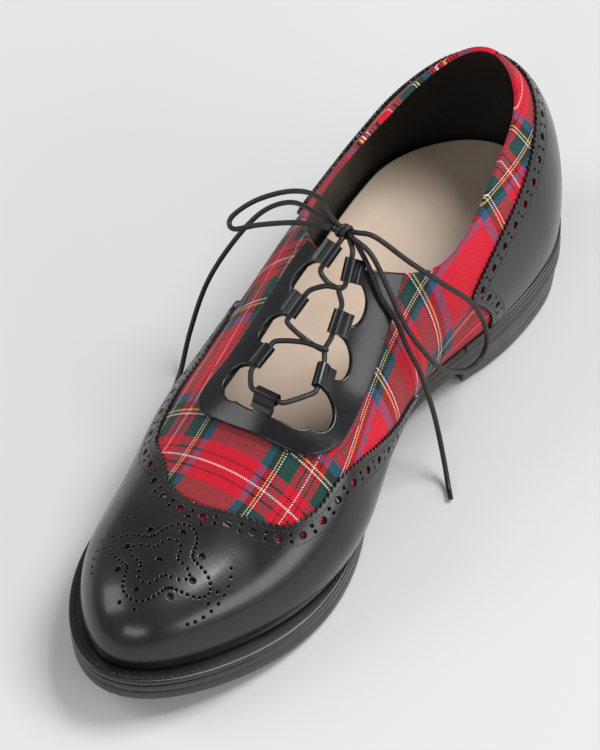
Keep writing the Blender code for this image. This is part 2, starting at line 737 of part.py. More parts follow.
def crossing(name, level, lower, upper, group):
    """Two laces from the lower pair of loops, hooked round each other, up to the next pair."""
    place, normal = on_last(*HOOKS[level])
    hook = place + normal * HOOK_LIFT
    lateral_low = tunnel_mouth(f"lateral_{lower}", 1)
    across = (hook - lateral_low).normalized()
    strands = []
    for side, way in (("lateral", 1), ("medial", -1)):
        low = tunnel_mouth(f"{side}_{lower}", 1)
        high = tunnel_mouth(f"{side}_{upper}", -1)
        low_out = low + tunnel_frame(f"{side}_{lower}")[1] * LACE_STRAIGHT
        high_out = high - tunnel_frame(f"{side}_{upper}")[1] * LACE_STRAIGHT
        points = (low, low_out, hook + across * way * LACE_DIAMETER * 0.3, high_out, high)
        strands.append(lace_curve(f"{name}_{side}", points, group))
    return joined(name, strands, group)


def front_lace(side, group):
    """The lace from a mouth of the front loop to the loop behind it."""
    way = 1 if side == "medial" else -1
    start = tunnel_mouth("front", way)
    end = tunnel_mouth(f"{side}_3", -1)
    out = tunnel_frame("front")[1] * way
    axis = tunnel_frame(f"{side}_3")[1]
    points = (start, start + out * LACE_STRAIGHT, end - axis * LACE_STRAIGHT, end)
    return lace_curve(f"lace_front_{side}", points, group)


def lace_place(place):
    x, y, rise = place
    y *= LAST_LENGTH
    z = feather(LAST_LENGTH / 2 - y) + rise * INSTEP_HEIGHT
    return Vector((x * BALL_WIDTH, y, max(z, LACE_DIAMETER / 2 + 0.2 * MM)))


def knot(group):
    """The bow's knot with the two legs that come up from the top loops."""
    centre = lace_place(KNOT)
    strands = []
    for side, way in (("lateral", -1), ("medial", 1)):
        mouth = tunnel_mouth(f"{side}_1", 1)
        end = centre + Vector((way * 0.6, 1.0, -1.2)) * MM
        ahead = mouth + tunnel_frame(f"{side}_1")[1] * LACE_STRAIGHT
        points = (mouth, ahead, (ahead + end) / 2, end)
        strands.append(lace_curve(f"leg_{side}", points, group))
    half = Vector((KNOT_HALF, 0, 0))
    bar = (centre - half, centre, centre + half)
    strands.append(lace_curve("bar", bar, group, LACE_DIAMETER * 1.1))
    ring = []
    for i in range(10):
        turn = 2 * math.pi * i / 10
        offset = Vector((0.5 * math.cos(turn), 2.0 * math.cos(turn), 2.1 * math.sin(turn)))
        ring.append(centre + offset * MM)
    strands.append(lace_curve("wrap", ring, group, LACE_DIAMETER / 2, 1, True))
    return joined("lace_knot", strands, group)


def port(side, name):
    out, y, z = PORTS[name]
    return lace_place(KNOT) + Vector((side * (KNOT_HALF + out), y, z))


def loose_lace(name, side, places, group):
    """A bow loop, from the knot and back to it, or a free end."""
    points = [lace_place(place) for place in places]
    if name.startswith("bow"):
        points = [port(side, "loop_out"), *points, port(side, "loop_back")]
    else:
        points = [port(side, "end"), *points]
    return lace_curve(name, points, group)


def build():
    clear_scene()
    group = collection("ghillie_shoe")
    things = [
        shell("upper", group, "cloth", upper_field, 0, UPPER_WALL, False),
        shell("toe_wing", group, "leather", wing_field, GAP, OVERLAY_WALL, True),
        shell("heel_counter", group, "leather", counter_field, GAP, OVERLAY_WALL, True),
        shell("eyestay", group, "leather", eyestay_field, GAP, EYESTAY_WALL, True, True),
    ]
    inner = -(UPPER_WALL + INSOLE_CLEARANCE)
    things.append(
        full_slab(
            "insole", group, "sock", lambda at, side: np.full(len(at), inner),
            -(GAP + INSOLE_THICKNESS), INSOLE_THICKNESS,
        )
    )
    things.append(rim_slab("welt", group, "sole leather", True))
    things.append(rim_slab("heel_rand", group, "sole leather", False))
    drop = WELT_THICKNESS + GAP
    things.append(full_slab("midsole", group, "sole leather", welt_offset, drop, MIDSOLE_THICKNESS))
    drop += MIDSOLE_THICKNESS + GAP
    things.append(full_slab("outsole", group, "sole leather", welt_offset, drop, OUTSOLE_THICKNESS))
    stack_floor = TOP_PIECE_THICKNESS + GAP
    things.append(
        heel_slab("heel_stack", group, "sole leather", 0, HEEL_TAPER * 0.7, None, stack_floor)
    )
    things.append(
        heel_slab(
            "heel_top_piece", group, "sole leather", HEEL_TAPER * 0.7, HEEL_TAPER,
            TOP_PIECE_THICKNESS, 0,
        )
    )
    things += [tunnel(name, group) for name in TUNNELS]
    laces = [
        front_lace("lateral", group),
        front_lace("medial", group),
        crossing("lace_crossing_low", "low", 3, 2, group),
        crossing("lace_crossing_high", "high", 2, 1, group),
        knot(group),
        loose_lace("bow_loop_lateral", -1, BOW_LATERAL, group),
        loose_lace("bow_loop_medial", 1, BOW_MEDIAL, group),
        loose_lace("lace_end_lateral", -1, END_LATERAL, group),
        loose_lace("lace_end_medial", 1, END_MEDIAL, group),
    ]
    stand(things, laces, group)


def stand(things, laces, group):
    """Puts the middle of the underside of the shoe, loose lace left out, on the origin."""
    frame = bpy.data.objects.new("shoe_frame", None)
    group.objects.link(frame)
    for thing in things + laces + list(helpers.objects):
        thing.parent = frame
    bpy.context.view_layer.update()
    graph = bpy.context.evaluated_depsgraph_get()
    low = np.full(3, np.inf)
    high = np.full(3, -np.inf)
    for thing in things + laces[:4]:
        mesh = thing.evaluated_get(graph).to_mesh()
        points = np.empty(3 * len(mesh.vertices))
        mesh.vertices.foreach_get("co", points)
        thing.evaluated_get(graph).to_mesh_clear()
        points = points.reshape(-1, 3)
        low = np.minimum(low, points.min(0))
        high = np.maximum(high, points.max(0))
    frame.location = (-(low[0] + high[0]) / 2, -(low[1] + high[1]) / 2, -low[2])


helpers = collection("cutters")
build()
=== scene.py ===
# %% Load the frame
import functools
import math

import bmesh
import bpy
import numpy as np
from mathutils import Matrix, Vector


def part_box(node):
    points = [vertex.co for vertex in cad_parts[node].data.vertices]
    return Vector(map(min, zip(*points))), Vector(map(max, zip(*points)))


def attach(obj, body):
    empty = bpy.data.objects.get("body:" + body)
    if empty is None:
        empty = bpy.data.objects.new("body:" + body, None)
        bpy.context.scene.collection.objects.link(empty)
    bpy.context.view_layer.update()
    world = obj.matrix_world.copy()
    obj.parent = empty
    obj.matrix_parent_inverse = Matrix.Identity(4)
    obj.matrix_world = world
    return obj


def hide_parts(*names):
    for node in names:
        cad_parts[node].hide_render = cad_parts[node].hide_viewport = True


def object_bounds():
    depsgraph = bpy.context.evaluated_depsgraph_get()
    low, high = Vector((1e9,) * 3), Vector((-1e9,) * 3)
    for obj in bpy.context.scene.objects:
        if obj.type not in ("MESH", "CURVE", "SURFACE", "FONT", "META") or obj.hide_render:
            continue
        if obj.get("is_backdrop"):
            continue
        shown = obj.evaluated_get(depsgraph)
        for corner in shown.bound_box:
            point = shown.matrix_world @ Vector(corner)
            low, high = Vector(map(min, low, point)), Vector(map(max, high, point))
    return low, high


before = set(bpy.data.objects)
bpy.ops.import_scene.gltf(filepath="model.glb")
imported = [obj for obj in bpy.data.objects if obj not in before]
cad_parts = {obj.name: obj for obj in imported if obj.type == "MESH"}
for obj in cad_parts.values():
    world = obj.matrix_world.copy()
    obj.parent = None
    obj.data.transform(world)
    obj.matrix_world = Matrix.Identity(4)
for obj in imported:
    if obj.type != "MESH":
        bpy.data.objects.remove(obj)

CAD_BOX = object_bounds()
MM = 0.001
print("nodes of the frame:", len(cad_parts))

# %% [markdown]
# The shoe is built on a last, the wooden or plastic foot that a shoemaker pulls the upper over. The
# CAD solids follow one formula for that last, so the same formula is repeated here with the same
# sizes. Every soft piece is then cut from this one surface, only much finer than in the CAD.

# %% Sizes
LAST_LENGTH = 280 * MM
BALL_WIDTH = 100 * MM
INSTEP_HEIGHT = 80 * MM
BACK_HEIGHT = 70 * MM
HEEL_HEIGHT = 26.5 * MM
TOE_SPRING = 10.5 * MM
UPPER_WALL = 2.0 * MM
OVERLAY_WALL = 1.2 * MM
EYESTAY_WALL = 1.8 * MM
INSOLE_THICKNESS = 3.5 * MM
WELT_THICKNESS = 2.8 * MM
MIDSOLE_THICKNESS = 3.4 * MM
OUTSOLE_THICKNESS = 4.6 * MM
TOP_PIECE_THICKNESS = 5.5 * MM
GAP = 0.3 * MM
UPPER_SEAT = 0.4 * MM
OVERLAY_SEAT = 1.0 * MM
INSOLE_CLEARANCE = 1.4 * MM
SOLE_THICKNESS = WELT_THICKNESS + MIDSOLE_THICKNESS + OUTSOLE_THICKNESS + 2 * GAP
SEAT_END, BALL_START, SPRING_START = 0.20, 0.60, 0.66
HEEL_ROUNDING, TOE_ROUNDING, TOE_DROP = 0.16, 0.385, 9
WELT_INSIDE = 6.0 * MM
HEEL_SETBACK = 0.5 * MM
HEEL_TAPER = 1.6 * MM
BREAST_MEDIAL, BREAST_LATERAL = 0.33, 0.26
BREAST_HOLLOW = 3.0 * MM
LACE_DIAMETER = 2.0 * MM
TUNNEL_DIAMETER = 4.6 * MM
TUNNEL_WALL = 0.9 * MM
TUNNEL_LENGTH = 9.0 * MM
TUNNEL_CLEARANCE = 0.5 * MM
TUNNEL_LIFT = 3.4 * MM
LACE_CLEARANCE = 0.5 * MM
LACE_STRAIGHT = 2 * MM

COLUMNS = ("medial", "lateral", "middle", "ridge", "bulge_in", "bulge_out", "wall", "crown", "lean")
SECTIONS = {
    0.00: (0.345, 0.345, 0.002, 1.020, 0.050, 0.044, 0.530, 0.580, 0.000),
    0.12: (0.398, 0.398, 0.008, 0.870, 0.042, 0.044, 0.505, 0.536, -0.018),
    0.28: (0.394, 0.394, 0.002, 0.925, 0.060, 0.056, 0.480, 0.504, 0.008),
    0.42: (0.295, 0.393, -0.008, 0.945, 0.240, 0.068, 0.470, 0.442, 0.025),
    0.55: (0.345, 0.427, -0.017, 0.780, 0.250, 0.058, 0.446, 0.390, 0.048),
    0.66: (0.420, 0.445, 0.017, 0.680, 0.190, 0.065, 0.525, 0.481, 0.072),
    0.76: (0.450, 0.436, 0.033, 0.500, 0.100, 0.070, 0.564, 0.549, 0.037),
    0.88: (0.468, 0.439, 0.014, 0.430, 0.045, 0.072, 0.615, 0.634, 0.027),
    1.00: (0.438, 0.430, 0.025, 0.490, 0.040, 0.054, 0.657, 0.665, 0.025),
}
BACK_CURVE = {0.0: 0.0, 0.29: 0.05, 0.64: 0.0, 0.93: -0.16, 1.57: -0.41}
COLLAR = {
    0.00: 0.993, 0.08: 0.857, 0.18: 0.771, 0.28: 0.703, 0.36: 0.751, 0.42: 0.930, 0.48: 1.120,
}
WELT_MEDIAL = {
    0.0: 0.025, 0.20: 0.022, 0.33: 0.012, 0.42: 0.005, 0.55: 0.007, 0.66: 0.026, 0.80: 0.066,
    1.0: 0.070,
}
WELT_LATERAL = {
    0.0: 0.025, 0.20: 0.022, 0.33: 0.020, 0.42: 0.024, 0.55: 0.040, 0.66: 0.050, 0.80: 0.060,
    1.0: 0.070,
}

# %% The last as a formula
@functools.cache
def spline_knots(rows):
    xs, ys = np.array(rows, float).T
    count = len(xs)
    steps = np.diff(xs)
    matrix = np.eye(count)
    right = np.zeros(count)
    for i in range(1, count - 1):
        matrix[i, i - 1 : i + 2] = steps[i - 1], 2 * (steps[i - 1] + steps[i]), steps[i]
        right[i] = 6 * ((ys[i + 1] - ys[i]) / steps[i] - (ys[i] - ys[i - 1]) / steps[i - 1])
    return xs, ys, np.linalg.solve(matrix, right)


def spline(table, at):
    xs, ys, bends = spline_knots(tuple(table.items()))
    at = np.asarray(at, float)
    i = np.clip(np.searchsorted(xs, at) - 1, 0, len(xs) - 2)
    step = xs[i + 1] - xs[i]
    b = (at - xs[i]) / step
    a = 1 - b
    curve = (a**3 - a) * bends[i] + (b**3 - b) * bends[i + 1]
    return a * ys[i] + b * ys[i + 1] + curve * step**2 / 6


def column(name, along):
    i = COLUMNS.index(name)
    return spline({share: row[i] for share, row in SECTIONS.items()}, along / LAST_LENGTH)


def end_rounding(along):
    heel = np.clip(1 - along / (HEEL_ROUNDING * LAST_LENGTH), 0, 1)
    toe = np.clip((along / LAST_LENGTH - 1) / TOE_ROUNDING + 1, 0, 1)
    return np.sqrt(1 - heel**2) * (1 - toe**1.9) ** (1 / 1.9)


def half_width(along, side):
    return column("medial" if side > 0 else "lateral", along) * BALL_WIDTH * end_rounding(along)


def middle(along):
    return column("middle", along) * BALL_WIDTH


def feather(along):
    share = np.asarray(along, float) / LAST_LENGTH
    k = np.clip((share - SEAT_END) / (BALL_START - SEAT_END), 0, 1)
    fall = k * k * (3 - 2 * k)
    spring = np.maximum(0, (share - SPRING_START) / (1 - SPRING_START))
    return HEEL_HEIGHT + (SOLE_THICKNESS - HEEL_HEIGHT) * fall + TOE_SPRING * spring**2


def ridge(along):
    drop = np.sqrt(np.clip(1 - (along / LAST_LENGTH) ** TOE_DROP, 0, 1))
    return column("ridge", along) * INSTEP_HEIGHT * drop


def last_point(along, v, side):
    along, v = np.broadcast_arrays(np.asarray(along, float), np.asarray(v, float))
    half = half_width(along, side)
    end = end_rounding(along)
    bulge = column("bulge_in" if side > 0 else "bulge_out", along) * BALL_WIDTH
    top = column("lean", along) * BALL_WIDTH * end * side
    shoulder = top + column("crown", along) * (half - top)
    across = (
        (1 - v) ** 3 * half
        + 3 * v * (1 - v) ** 2 * (half + bulge * end)
        + 3 * v * v * (1 - v) * shoulder
        + v**3 * top
    )
    rise = ridge(along) * (3 * v * (1 - v) ** 2 * column("wall", along) + 3 * v * v * (1 - v) + v**3)
    fade = np.clip(1 - along / (0.30 * LAST_LENGTH), 0, 1) ** 2
    back = spline(BACK_CURVE, rise / BACK_HEIGHT) * BACK_HEIGHT * fade
    x = middle(along) + side * across
    y = LAST_LENGTH / 2 - along + back
    return np.stack([x, y, feather(along) + UPPER_SEAT + rise], -1)


def outline(along, side, offset):
    step = 0.05 * MM
    asked = np.asarray(along, float)
    along = np.clip(asked, 2 * step, LAST_LENGTH - 2 * step)

    def plain(at):
        return np.stack([middle(at) + side * half_width(at, side), LAST_LENGTH / 2 - at], -1)

    tangent = plain(along + step) - plain(along - step)
    tangent /= np.linalg.norm(tangent, axis=-1, keepdims=True)
    normal = np.stack([-tangent[..., 1], tangent[..., 0]], -1) * side
    end = np.where(asked < step, 1.0, np.where(asked > LAST_LENGTH - step, -1.0, 0.0))[..., None]
    tip = plain(asked) + np.stack([0 * asked, end[..., 0] * offset], -1)
    return np.where(end == 0, plain(along) + normal * np.asarray(offset)[..., None], tip)


def welt_offset(along, side):
    return spline(WELT_MEDIAL if side > 0 else WELT_LATERAL, along / LAST_LENGTH) * BALL_WIDTH


def stations(first, last, count):
    turn = np.arccos(1 - 2 * np.array([first, last]) / LAST_LENGTH)
    return LAST_LENGTH * (1 - np.cos(np.linspace(turn[0], turn[1], count))) / 2


def smooth_line(points, steps=4):
    points = np.array(points, float)
    ends = np.vstack([2 * points[0] - points[1], points, 2 * points[-1] - points[-2]])
    t = np.arange(steps)[:, None] / steps
    made = []
    for a, b, c, d in zip(ends, ends[1:], ends[2:], ends[3:]):
        cubic = (3 * (b - c) + d - a) * t**3 + (2 * a - 5 * b + 4 * c - d) * t**2
        made.append(b + ((c - a) * t + cubic) / 2)
    return np.vstack([*made, points[-1:]])


def walked(points):
    """How far along a line each of its points is."""
    return np.concatenate([[0], np.cumsum(np.linalg.norm(np.diff(points, axis=0), axis=1))])


def at_lengths(points, lengths, at):
    """Points of a line at the given distances along it."""
    return np.stack([np.interp(at, lengths, values) for values in points.T], -1)


def own_reach():
    places = np.clip(stations(0, LAST_LENGTH, 39), 0.1 * MM, LAST_LENGTH - 0.1 * MM)
    plan = np.vstack([outline(places, s, welt_offset(places, s)) for s in (-1.0, 1.0)])
    return plan.max(0)


SHIFT = np.array([*(np.array(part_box("outsole")[1])[:2] - own_reach()), 0.0])
print("the last's frame is moved by", [round(float(v) / MM, 2) for v in SHIFT], "mm")

# %% [markdown]
# The camera comes next, with the cords, because they depend on nothing else. It looks down on the
# shoe from the front and the inner side, through a long lens, so that the shoe shows little
# perspective. It is turned to the middle of the picture, so its lens needs no shift.

# %% Camera
CAMERA_TURN, CAMERA_RISE, CAMERA_ROLL = 33.22, 55.12, -1.294
CAMERA_DISTANCE = 1500.2 * MM
FOCAL_PIXELS = 1999.4
AIM_POINT = np.array([0.0, 0.0, 30.0]) * MM
AIM_PIXEL = (258.4, 282.65)
FRAME_PIXEL = (250.0, 279.5)
FRAME_ZOOM = 2.0
PICTURE_WIDTH, PICTURE_HEIGHT = 600, 750


def unit(vector):
    return vector / np.linalg.norm(vector)


def camera_axes(turn, rise, roll):
    az, el, ro = (math.radians(v) for v in (turn, rise, roll))
    back = np.array([math.sin(az) * math.cos(el), -math.cos(az) * math.cos(el), math.sin(el)])
    right = np.array([math.cos(az), math.sin(az), 0.0])
    up = np.cross(back, right)
    return right * math.cos(ro) + up * math.sin(ro), up * math.cos(ro) - right * math.sin(ro), back


def make_camera():
    right, up, back = camera_axes(CAMERA_TURN, CAMERA_RISE, CAMERA_ROLL)
    centre = np.array([PICTURE_WIDTH, PICTURE_HEIGHT]) / 2
    off = (np.array(AIM_PIXEL) - centre) / FOCAL_PIXELS * CAMERA_DISTANCE
    place = AIM_POINT + back * CAMERA_DISTANCE - right * off[0] + up * off[1]
    look = (np.array(FRAME_PIXEL) - centre) / FOCAL_PIXELS
    new_back = -unit(right * look[0] - up * look[1] - back)
    new_right = unit(np.cross(up, new_back))
    new_up = np.cross(new_back, new_right)
    data = bpy.data.cameras.new("view")
    data.sensor_fit = "HORIZONTAL"
    data.sensor_width = 36
    data.lens = FOCAL_PIXELS * FRAME_ZOOM / PICTURE_WIDTH * data.sensor_width
    data.clip_start, data.clip_end = 0.1, 20
    camera = bpy.data.objects.new("view", data)
    turned = Matrix(np.column_stack([new_right, new_up, new_back]).tolist()).to_4x4()
    camera.matrix_world = Matrix.Translation(Vector(place + SHIFT)) @ turned
    bpy.context.scene.collection.objects.link(camera)
    bpy.context.scene.camera = camera
    return camera


camera = make_camera()
print("camera lens", round(camera.data.lens, 1), "mm")

# %% [markdown]
# A finish is a small graph of nodes. This helper adds a node, sets its plain values, and joins its
# other sockets, so that each material below reads as a short list.

# %% Material helpers
def new_tree(name):
    material = bpy.data.materials.new(name)
    material.use_nodes = True
    tree = material.node_tree
    return material, tree, tree.nodes["Principled BSDF"]


def add(tree, kind, settings=None, **sockets):
    node = tree.nodes.new(kind)
    for key, value in (settings or {}).items():
        setattr(node, key, value)
    for key, value in sockets.items():
        plug(tree, node, key, value)
    return node


def plug(tree, node, key, value):
    socket = node.inputs[int(key[1:])] if key[0] == "i" and key[1:].isdigit() else node.inputs[key]
    if isinstance(value, bpy.types.NodeSocket):
        tree.links.new(value, socket)
    else:
        socket.default_value = value


def sums(tree, operation, first, second=0.0, third=None):
    extra = {} if third is None else {"i2": third}
    node = add(tree, "ShaderNodeMath", {"operation": operation}, i0=first, i1=second, **extra)
    return node.outputs[0]


def ramp(tree, fac, stops, smooth="LINEAR"):
    node = add(tree, "ShaderNodeValToRGB", Fac=fac)
    node.color_ramp.interpolation = smooth
    points = node.color_ramp.elements
    while len(points) < len(stops):
        points.new(1.0)
    for point, (place, color) in zip(points, stops):
        point.position = place
        point.color = (*color, 1)
    return node.outputs["Color"]


def grey(value):
    return (value, value, value)


def object_place(tree):
    return add(tree, "ShaderNodeTexCoord").outputs["Object"]


def noise(tree, vector, scale, detail=3.0, rough=0.55):
    node = add(tree, "ShaderNodeTexNoise", Vector=vector, Scale=scale, Detail=detail, Roughness=rough)
    return node.outputs["Fac"]


def bump(tree, height, distance, strength=1.0, below=None):
    extra = {} if below is None else {"Normal": below}
    node = add(tree, "ShaderNodeBump", Height=height, Distance=distance, Strength=strength, **extra)
    return node.outputs["Normal"]


# %% [markdown]
# Box leather is calf leather with a fine grain and a wax polish. Its colour hardly changes. What
# shows is the gloss, which is uneven, and a grain of about half a millimetre in the bump.

# %% Leather
def leather(name, dark, light, rough, grain, depth, coat=0.0, shine=0.5):
    material, tree, shader = new_tree(name)
    place = object_place(tree)
    cloud = noise(tree, place, 60.0, 4.0)
    cells = add(tree, "ShaderNodeTexVoronoi", {"feature": "SMOOTH_F1"}, Vector=place, Scale=grain)
    plug(tree, shader, "Base Color", ramp(tree, cloud, [(0.3, dark), (0.7, light)]))
    gloss = [(0.3, grey(rough * 0.8)), (0.7, grey(rough * 1.25))]
    plug(tree, shader, "Roughness", ramp(tree, cloud, gloss))
    creases = bump(tree, noise(tree, place, 220.0, 5.0), depth * 1.5, 0.5)
    plug(tree, shader, "Normal", bump(tree, cells.outputs["Distance"], depth, 0.5, creases))
    shader.inputs["Specular IOR Level"].default_value = shine
    shader.inputs["Coat Weight"].default_value = coat
    shader.inputs["Coat Roughness"].default_value = 0.16
    return material


BLACK = leather(
    "polished_calf", (0.004, 0.004, 0.0045), (0.009, 0.0085, 0.009), 0.30, 1500, 0.00004, 0.35, 0.45
)
FACING = leather(
    "facing_calf", (0.003, 0.003, 0.004), (0.006, 0.006, 0.008), 0.26, 1700, 0.00004, 0.20, 0.40
)
LINING = leather("lining_leather", (0.006, 0.0055, 0.005), (0.014, 0.012, 0.011), 0.55, 900, 0.00008)
SOCK = leather("sock_leather", (0.86, 0.66, 0.50), (0.91, 0.73, 0.58), 0.55, 700, 0.00005)
print("leathers:", BLACK.name, FACING.name, LINING.name, SOCK.name)

# %% [markdown]
# The edges of a leather sole are sanded, dyed and ironed with wax. They keep fine lines along the
# layers, so the noise is stretched along the shoe and pressed together in height.

# %% Sole edge
def sole_edge(name, dark, light, rough):
    material, tree, shader = new_tree(name)
    scaled = add(tree, "ShaderNodeMapping", Vector=object_place(tree), Scale=(1.0, 1.0, 14.0))
    streaks = noise(tree, scaled.outputs["Vector"], 130.0, 6.0, 0.65)
    cloud = noise(tree, object_place(tree), 35.0)
    plug(tree, shader, "Base Color", ramp(tree, streaks, [(0.35, dark), (0.7, light)]))
    gloss = [(0.3, grey(rough * 0.8)), (0.7, grey(rough * 1.3))]
    plug(tree, shader, "Roughness", ramp(tree, cloud, gloss))
    plug(tree, shader, "Normal", bump(tree, streaks, 0.00012, 0.6))
    shader.inputs["Coat Weight"].default_value = 0.2
    shader.inputs["Coat Roughness"].default_value = 0.3
    return material


SOLE = sole_edge("waxed_sole_edge", (0.009, 0.008, 0.007), (0.024, 0.021, 0.019), 0.38)
WELT = sole_edge("welt_leather", (0.005, 0.005, 0.005), (0.013, 0.012, 0.012), 0.30)
print("sole finishes:", SOLE.name, WELT.name)

# %% [markdown]
# A tartan is one list of thread counts, used across and along and mirrored at both ends. A
# ping-pong of the thread number gives the mirroring, and a colour ramp with hard steps gives the
# list. Warp and weft change places in a twill of two over, two under, which the eye mixes.

# %% Tartan
SETT = (
    ("red", 36), ("blue", 9), ("black", 7), ("yellow", 1.7), ("black", 2.3), ("white", 1.5),
    ("black", 2.5), ("green", 16), ("red", 8), ("black", 1.7), ("red", 5.3), ("white", 1),
)
YARNS = {
    "red": (0.58, 0.004, 0.022), "blue": (0.022, 0.085, 0.170), "black": (0.012, 0.012, 0.014),
    "yellow": (0.70, 0.46, 0.12), "white": (0.74, 0.70, 0.68), "green": (0.010, 0.052, 0.045),
}
HALF_SETT = sum(count for _, count in SETT)
WARP_THREAD = 0.318 * MM
WEFT_THREAD = 0.43 * MM
WARP_START = -4.8 * MM
WEFT_START = 206.0 * MM + HALF_SETT * WEFT_THREAD
TWILL_SCALE = 0.75


def sett_stops():
    stops, at = [], 0.0
    for yarn, count in SETT:
        stops.append((at / HALF_SETT, YARNS[yarn]))
        at += count
    return stops


def thread_number(tree, across, start, thread):
    return sums(tree, "DIVIDE", sums(tree, "SUBTRACT", across, start), thread)


def tartan(name):
    material, tree, shader = new_tree(name)
    weave = add(tree, "ShaderNodeUVMap", {"uv_map": "weave"}).outputs["UV"]
    axes = add(tree, "ShaderNodeSeparateXYZ", Vector=weave).outputs
    numbers = (
        thread_number(tree, axes["X"], WARP_START, WARP_THREAD),
        thread_number(tree, axes["Y"], WEFT_START, WEFT_THREAD),
    )
    colors = []
    for number in numbers:
        mirrored = sums(tree, "DIVIDE", sums(tree, "PINGPONG", number, HALF_SETT), HALF_SETT)
        colors.append(ramp(tree, mirrored, sett_stops(), "CONSTANT"))
    diagonal = sums(tree, "ADD", numbers[0], sums(tree, "MULTIPLY", numbers[1], 1.35))
    turn = sums(tree, "SINE", sums(tree, "MULTIPLY", diagonal, math.pi / 2 / TWILL_SCALE))
    over = ramp(tree, sums(tree, "MULTIPLY_ADD", turn, 0.5, 0.5), [(0.35, grey(0)), (0.65, grey(1))])
    mix = add(tree, "ShaderNodeMix", {"data_type": "RGBA"}, i0=over)
    plug(tree, mix, "i6", colors[0])
    plug(tree, mix, "i7", colors[1])
    fuzz = noise(tree, weave, 900.0, 2.0)
    shade = add(tree, "ShaderNodeHueSaturation", Color=mix.outputs[2])
    plug(tree, shade, "Value", sums(tree, "MULTIPLY_ADD", fuzz, 0.5, 0.78))
    plug(tree, shader, "Base Color", shade.outputs["Color"])
    ribs = sums(tree, "SINE", sums(tree, "MULTIPLY", numbers[0], 2 * math.pi / 2))
    cords = sums(tree, "SINE", sums(tree, "MULTIPLY", numbers[1], 2 * math.pi / 2))
    cloth = sums(tree, "ADD", sums(tree, "MULTIPLY", ribs, cords), sums(tree, "MULTIPLY", turn, 0.6))
    plug(tree, shader, "Normal", bump(tree, cloth, 0.00012, 0.55))
    shader.inputs["Roughness"].default_value = 0.82
    shader.inputs["Specular IOR Level"].default_value = 0.25
    shader.inputs["Sheen Weight"].default_value = 0.08
    shader.inputs["Sheen Roughness"].default_value = 0.5
    return material


CLOTH = tartan("tartan_cloth")
print("tartan repeat across", round(2 * HALF_SETT * WARP_THREAD / MM, 1), "mm")

# %% [markdown]
# The lace is a thin round braid with a wax finish, and the thread is waxed linen. Both are black,
# and catch the light in small broken lines.

# %% Lace and thread
def braid(name, dark, light, rough, scale, depth):
    material, tree, shader = new_tree(name)
    place = object_place(tree)
    cells = add(tree, "ShaderNodeTexVoronoi", Vector=place, Scale=scale).outputs["Distance"]
    plug(tree, shader, "Base Color", ramp(tree, cells, [(0.1, light), (0.6, dark)]))
    gloss = [(0.3, grey(rough)), (0.7, grey(rough * 1.5))]
    plug(tree, shader, "Roughness", ramp(tree, noise(tree, place, 300.0), gloss))
    plug(tree, shader, "Normal", bump(tree, cells, depth, 0.7))
    return material


LACE = braid("waxed_lace", (0.004, 0.004, 0.0045), (0.014, 0.0135, 0.014), 0.36, 1400, 0.00018)
THREAD = braid("waxed_thread", (0.010, 0.010, 0.010), (0.045, 0.044, 0.043), 0.38, 2600, 0.00006)
print("lace finishes:", LACE.name, THREAD.name)

# %% [markdown]
# Every piece ends as a mesh whose object sits at the origin. These helpers make such a mesh, sweep
# faces between rings of points, merge doubled points, and hand the finished piece over.

# %% Mesh helpers
def new_object(name, data, materials):
    thing = bpy.data.objects.new(name, data)
    bpy.context.scene.collection.objects.link(thing)
    data.materials.clear()
    for material in materials:
        data.materials.append(material)
    return thing


def make_mesh(name, points, faces, materials, slots=None):
    mesh = bpy.data.meshes.new(name)
    faces = faces.tolist() if isinstance(faces, np.ndarray) else faces
    mesh.from_pydata(np.asarray(points) + SHIFT, [], faces)
    thing = new_object(name, mesh, materials)
    if slots is not None:
        mesh.polygons.foreach_set("material_index", np.asarray(slots, np.int32))
    mesh.polygons.foreach_set("use_smooth", np.full(len(mesh.polygons), True))
    mesh.update()
    return thing


def ring_faces(rows, count):
    """Four-sided faces between closed rings of points, ring after ring."""
    faces = []
    for i in range(rows - 1):
        for j in range(count):
            k = (j + 1) % count
            faces.append((i * count + j, i * count + k, (i + 1) * count + k, (i + 1) * count + j))
    return faces


def end_faces(rows, count):
    """The first and the last ring, each as one face."""
    return [tuple(range(count)), tuple(range((rows - 1) * count, rows * count))]


def mend(thing, merge, crease, fill=False):
    """Merges doubled points, closes holes if asked, turns faces outwards and marks creases."""
    bm = bmesh.new()
    bm.from_mesh(thing.data)
    bmesh.ops.remove_doubles(bm, verts=bm.verts, dist=merge)
    if fill:
        bmesh.ops.holes_fill(bm, edges=[e for e in bm.edges if len(e.link_faces) == 1])
    bmesh.ops.recalc_face_normals(bm, faces=bm.faces)
    bm.to_mesh(thing.data)
    bm.free()
    thing.data.set_sharp_from_angle(angle=math.radians(crease))


def keep(thing, nodes):
    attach(thing, "root")
    if nodes:
        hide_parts(*nodes)
    count = sum(len(p.vertices) - 2 for p in thing.data.polygons) if thing.type == "MESH" else 0
    print(f"{thing.name}: {count} triangles")


# %% [markdown]
# A place on the last is the distance along it and a share around it, from -1 at the outer edge of
# the sole over the ridge to 1 at the inner edge. Makers measure girth instead, so a table turns
# girth into that share. The loops' places are given by girth too.

# %% Places on the last
FINE_ALONG = LAST_LENGTH * (1 - np.cos(np.linspace(0, math.pi, 301))) / 2
FINE_U = np.linspace(-1, 1, 241)


def surface(along, u):
    along, u = np.broadcast_arrays(np.asarray(along, float), np.asarray(u, float))
    along = np.clip(along, 0, LAST_LENGTH)
    v = 1 - np.abs(u)
    inner, outer = last_point(along, v, 1.0), last_point(along, v, -1.0)
    return np.where((u > 0)[..., None], inner, outer)


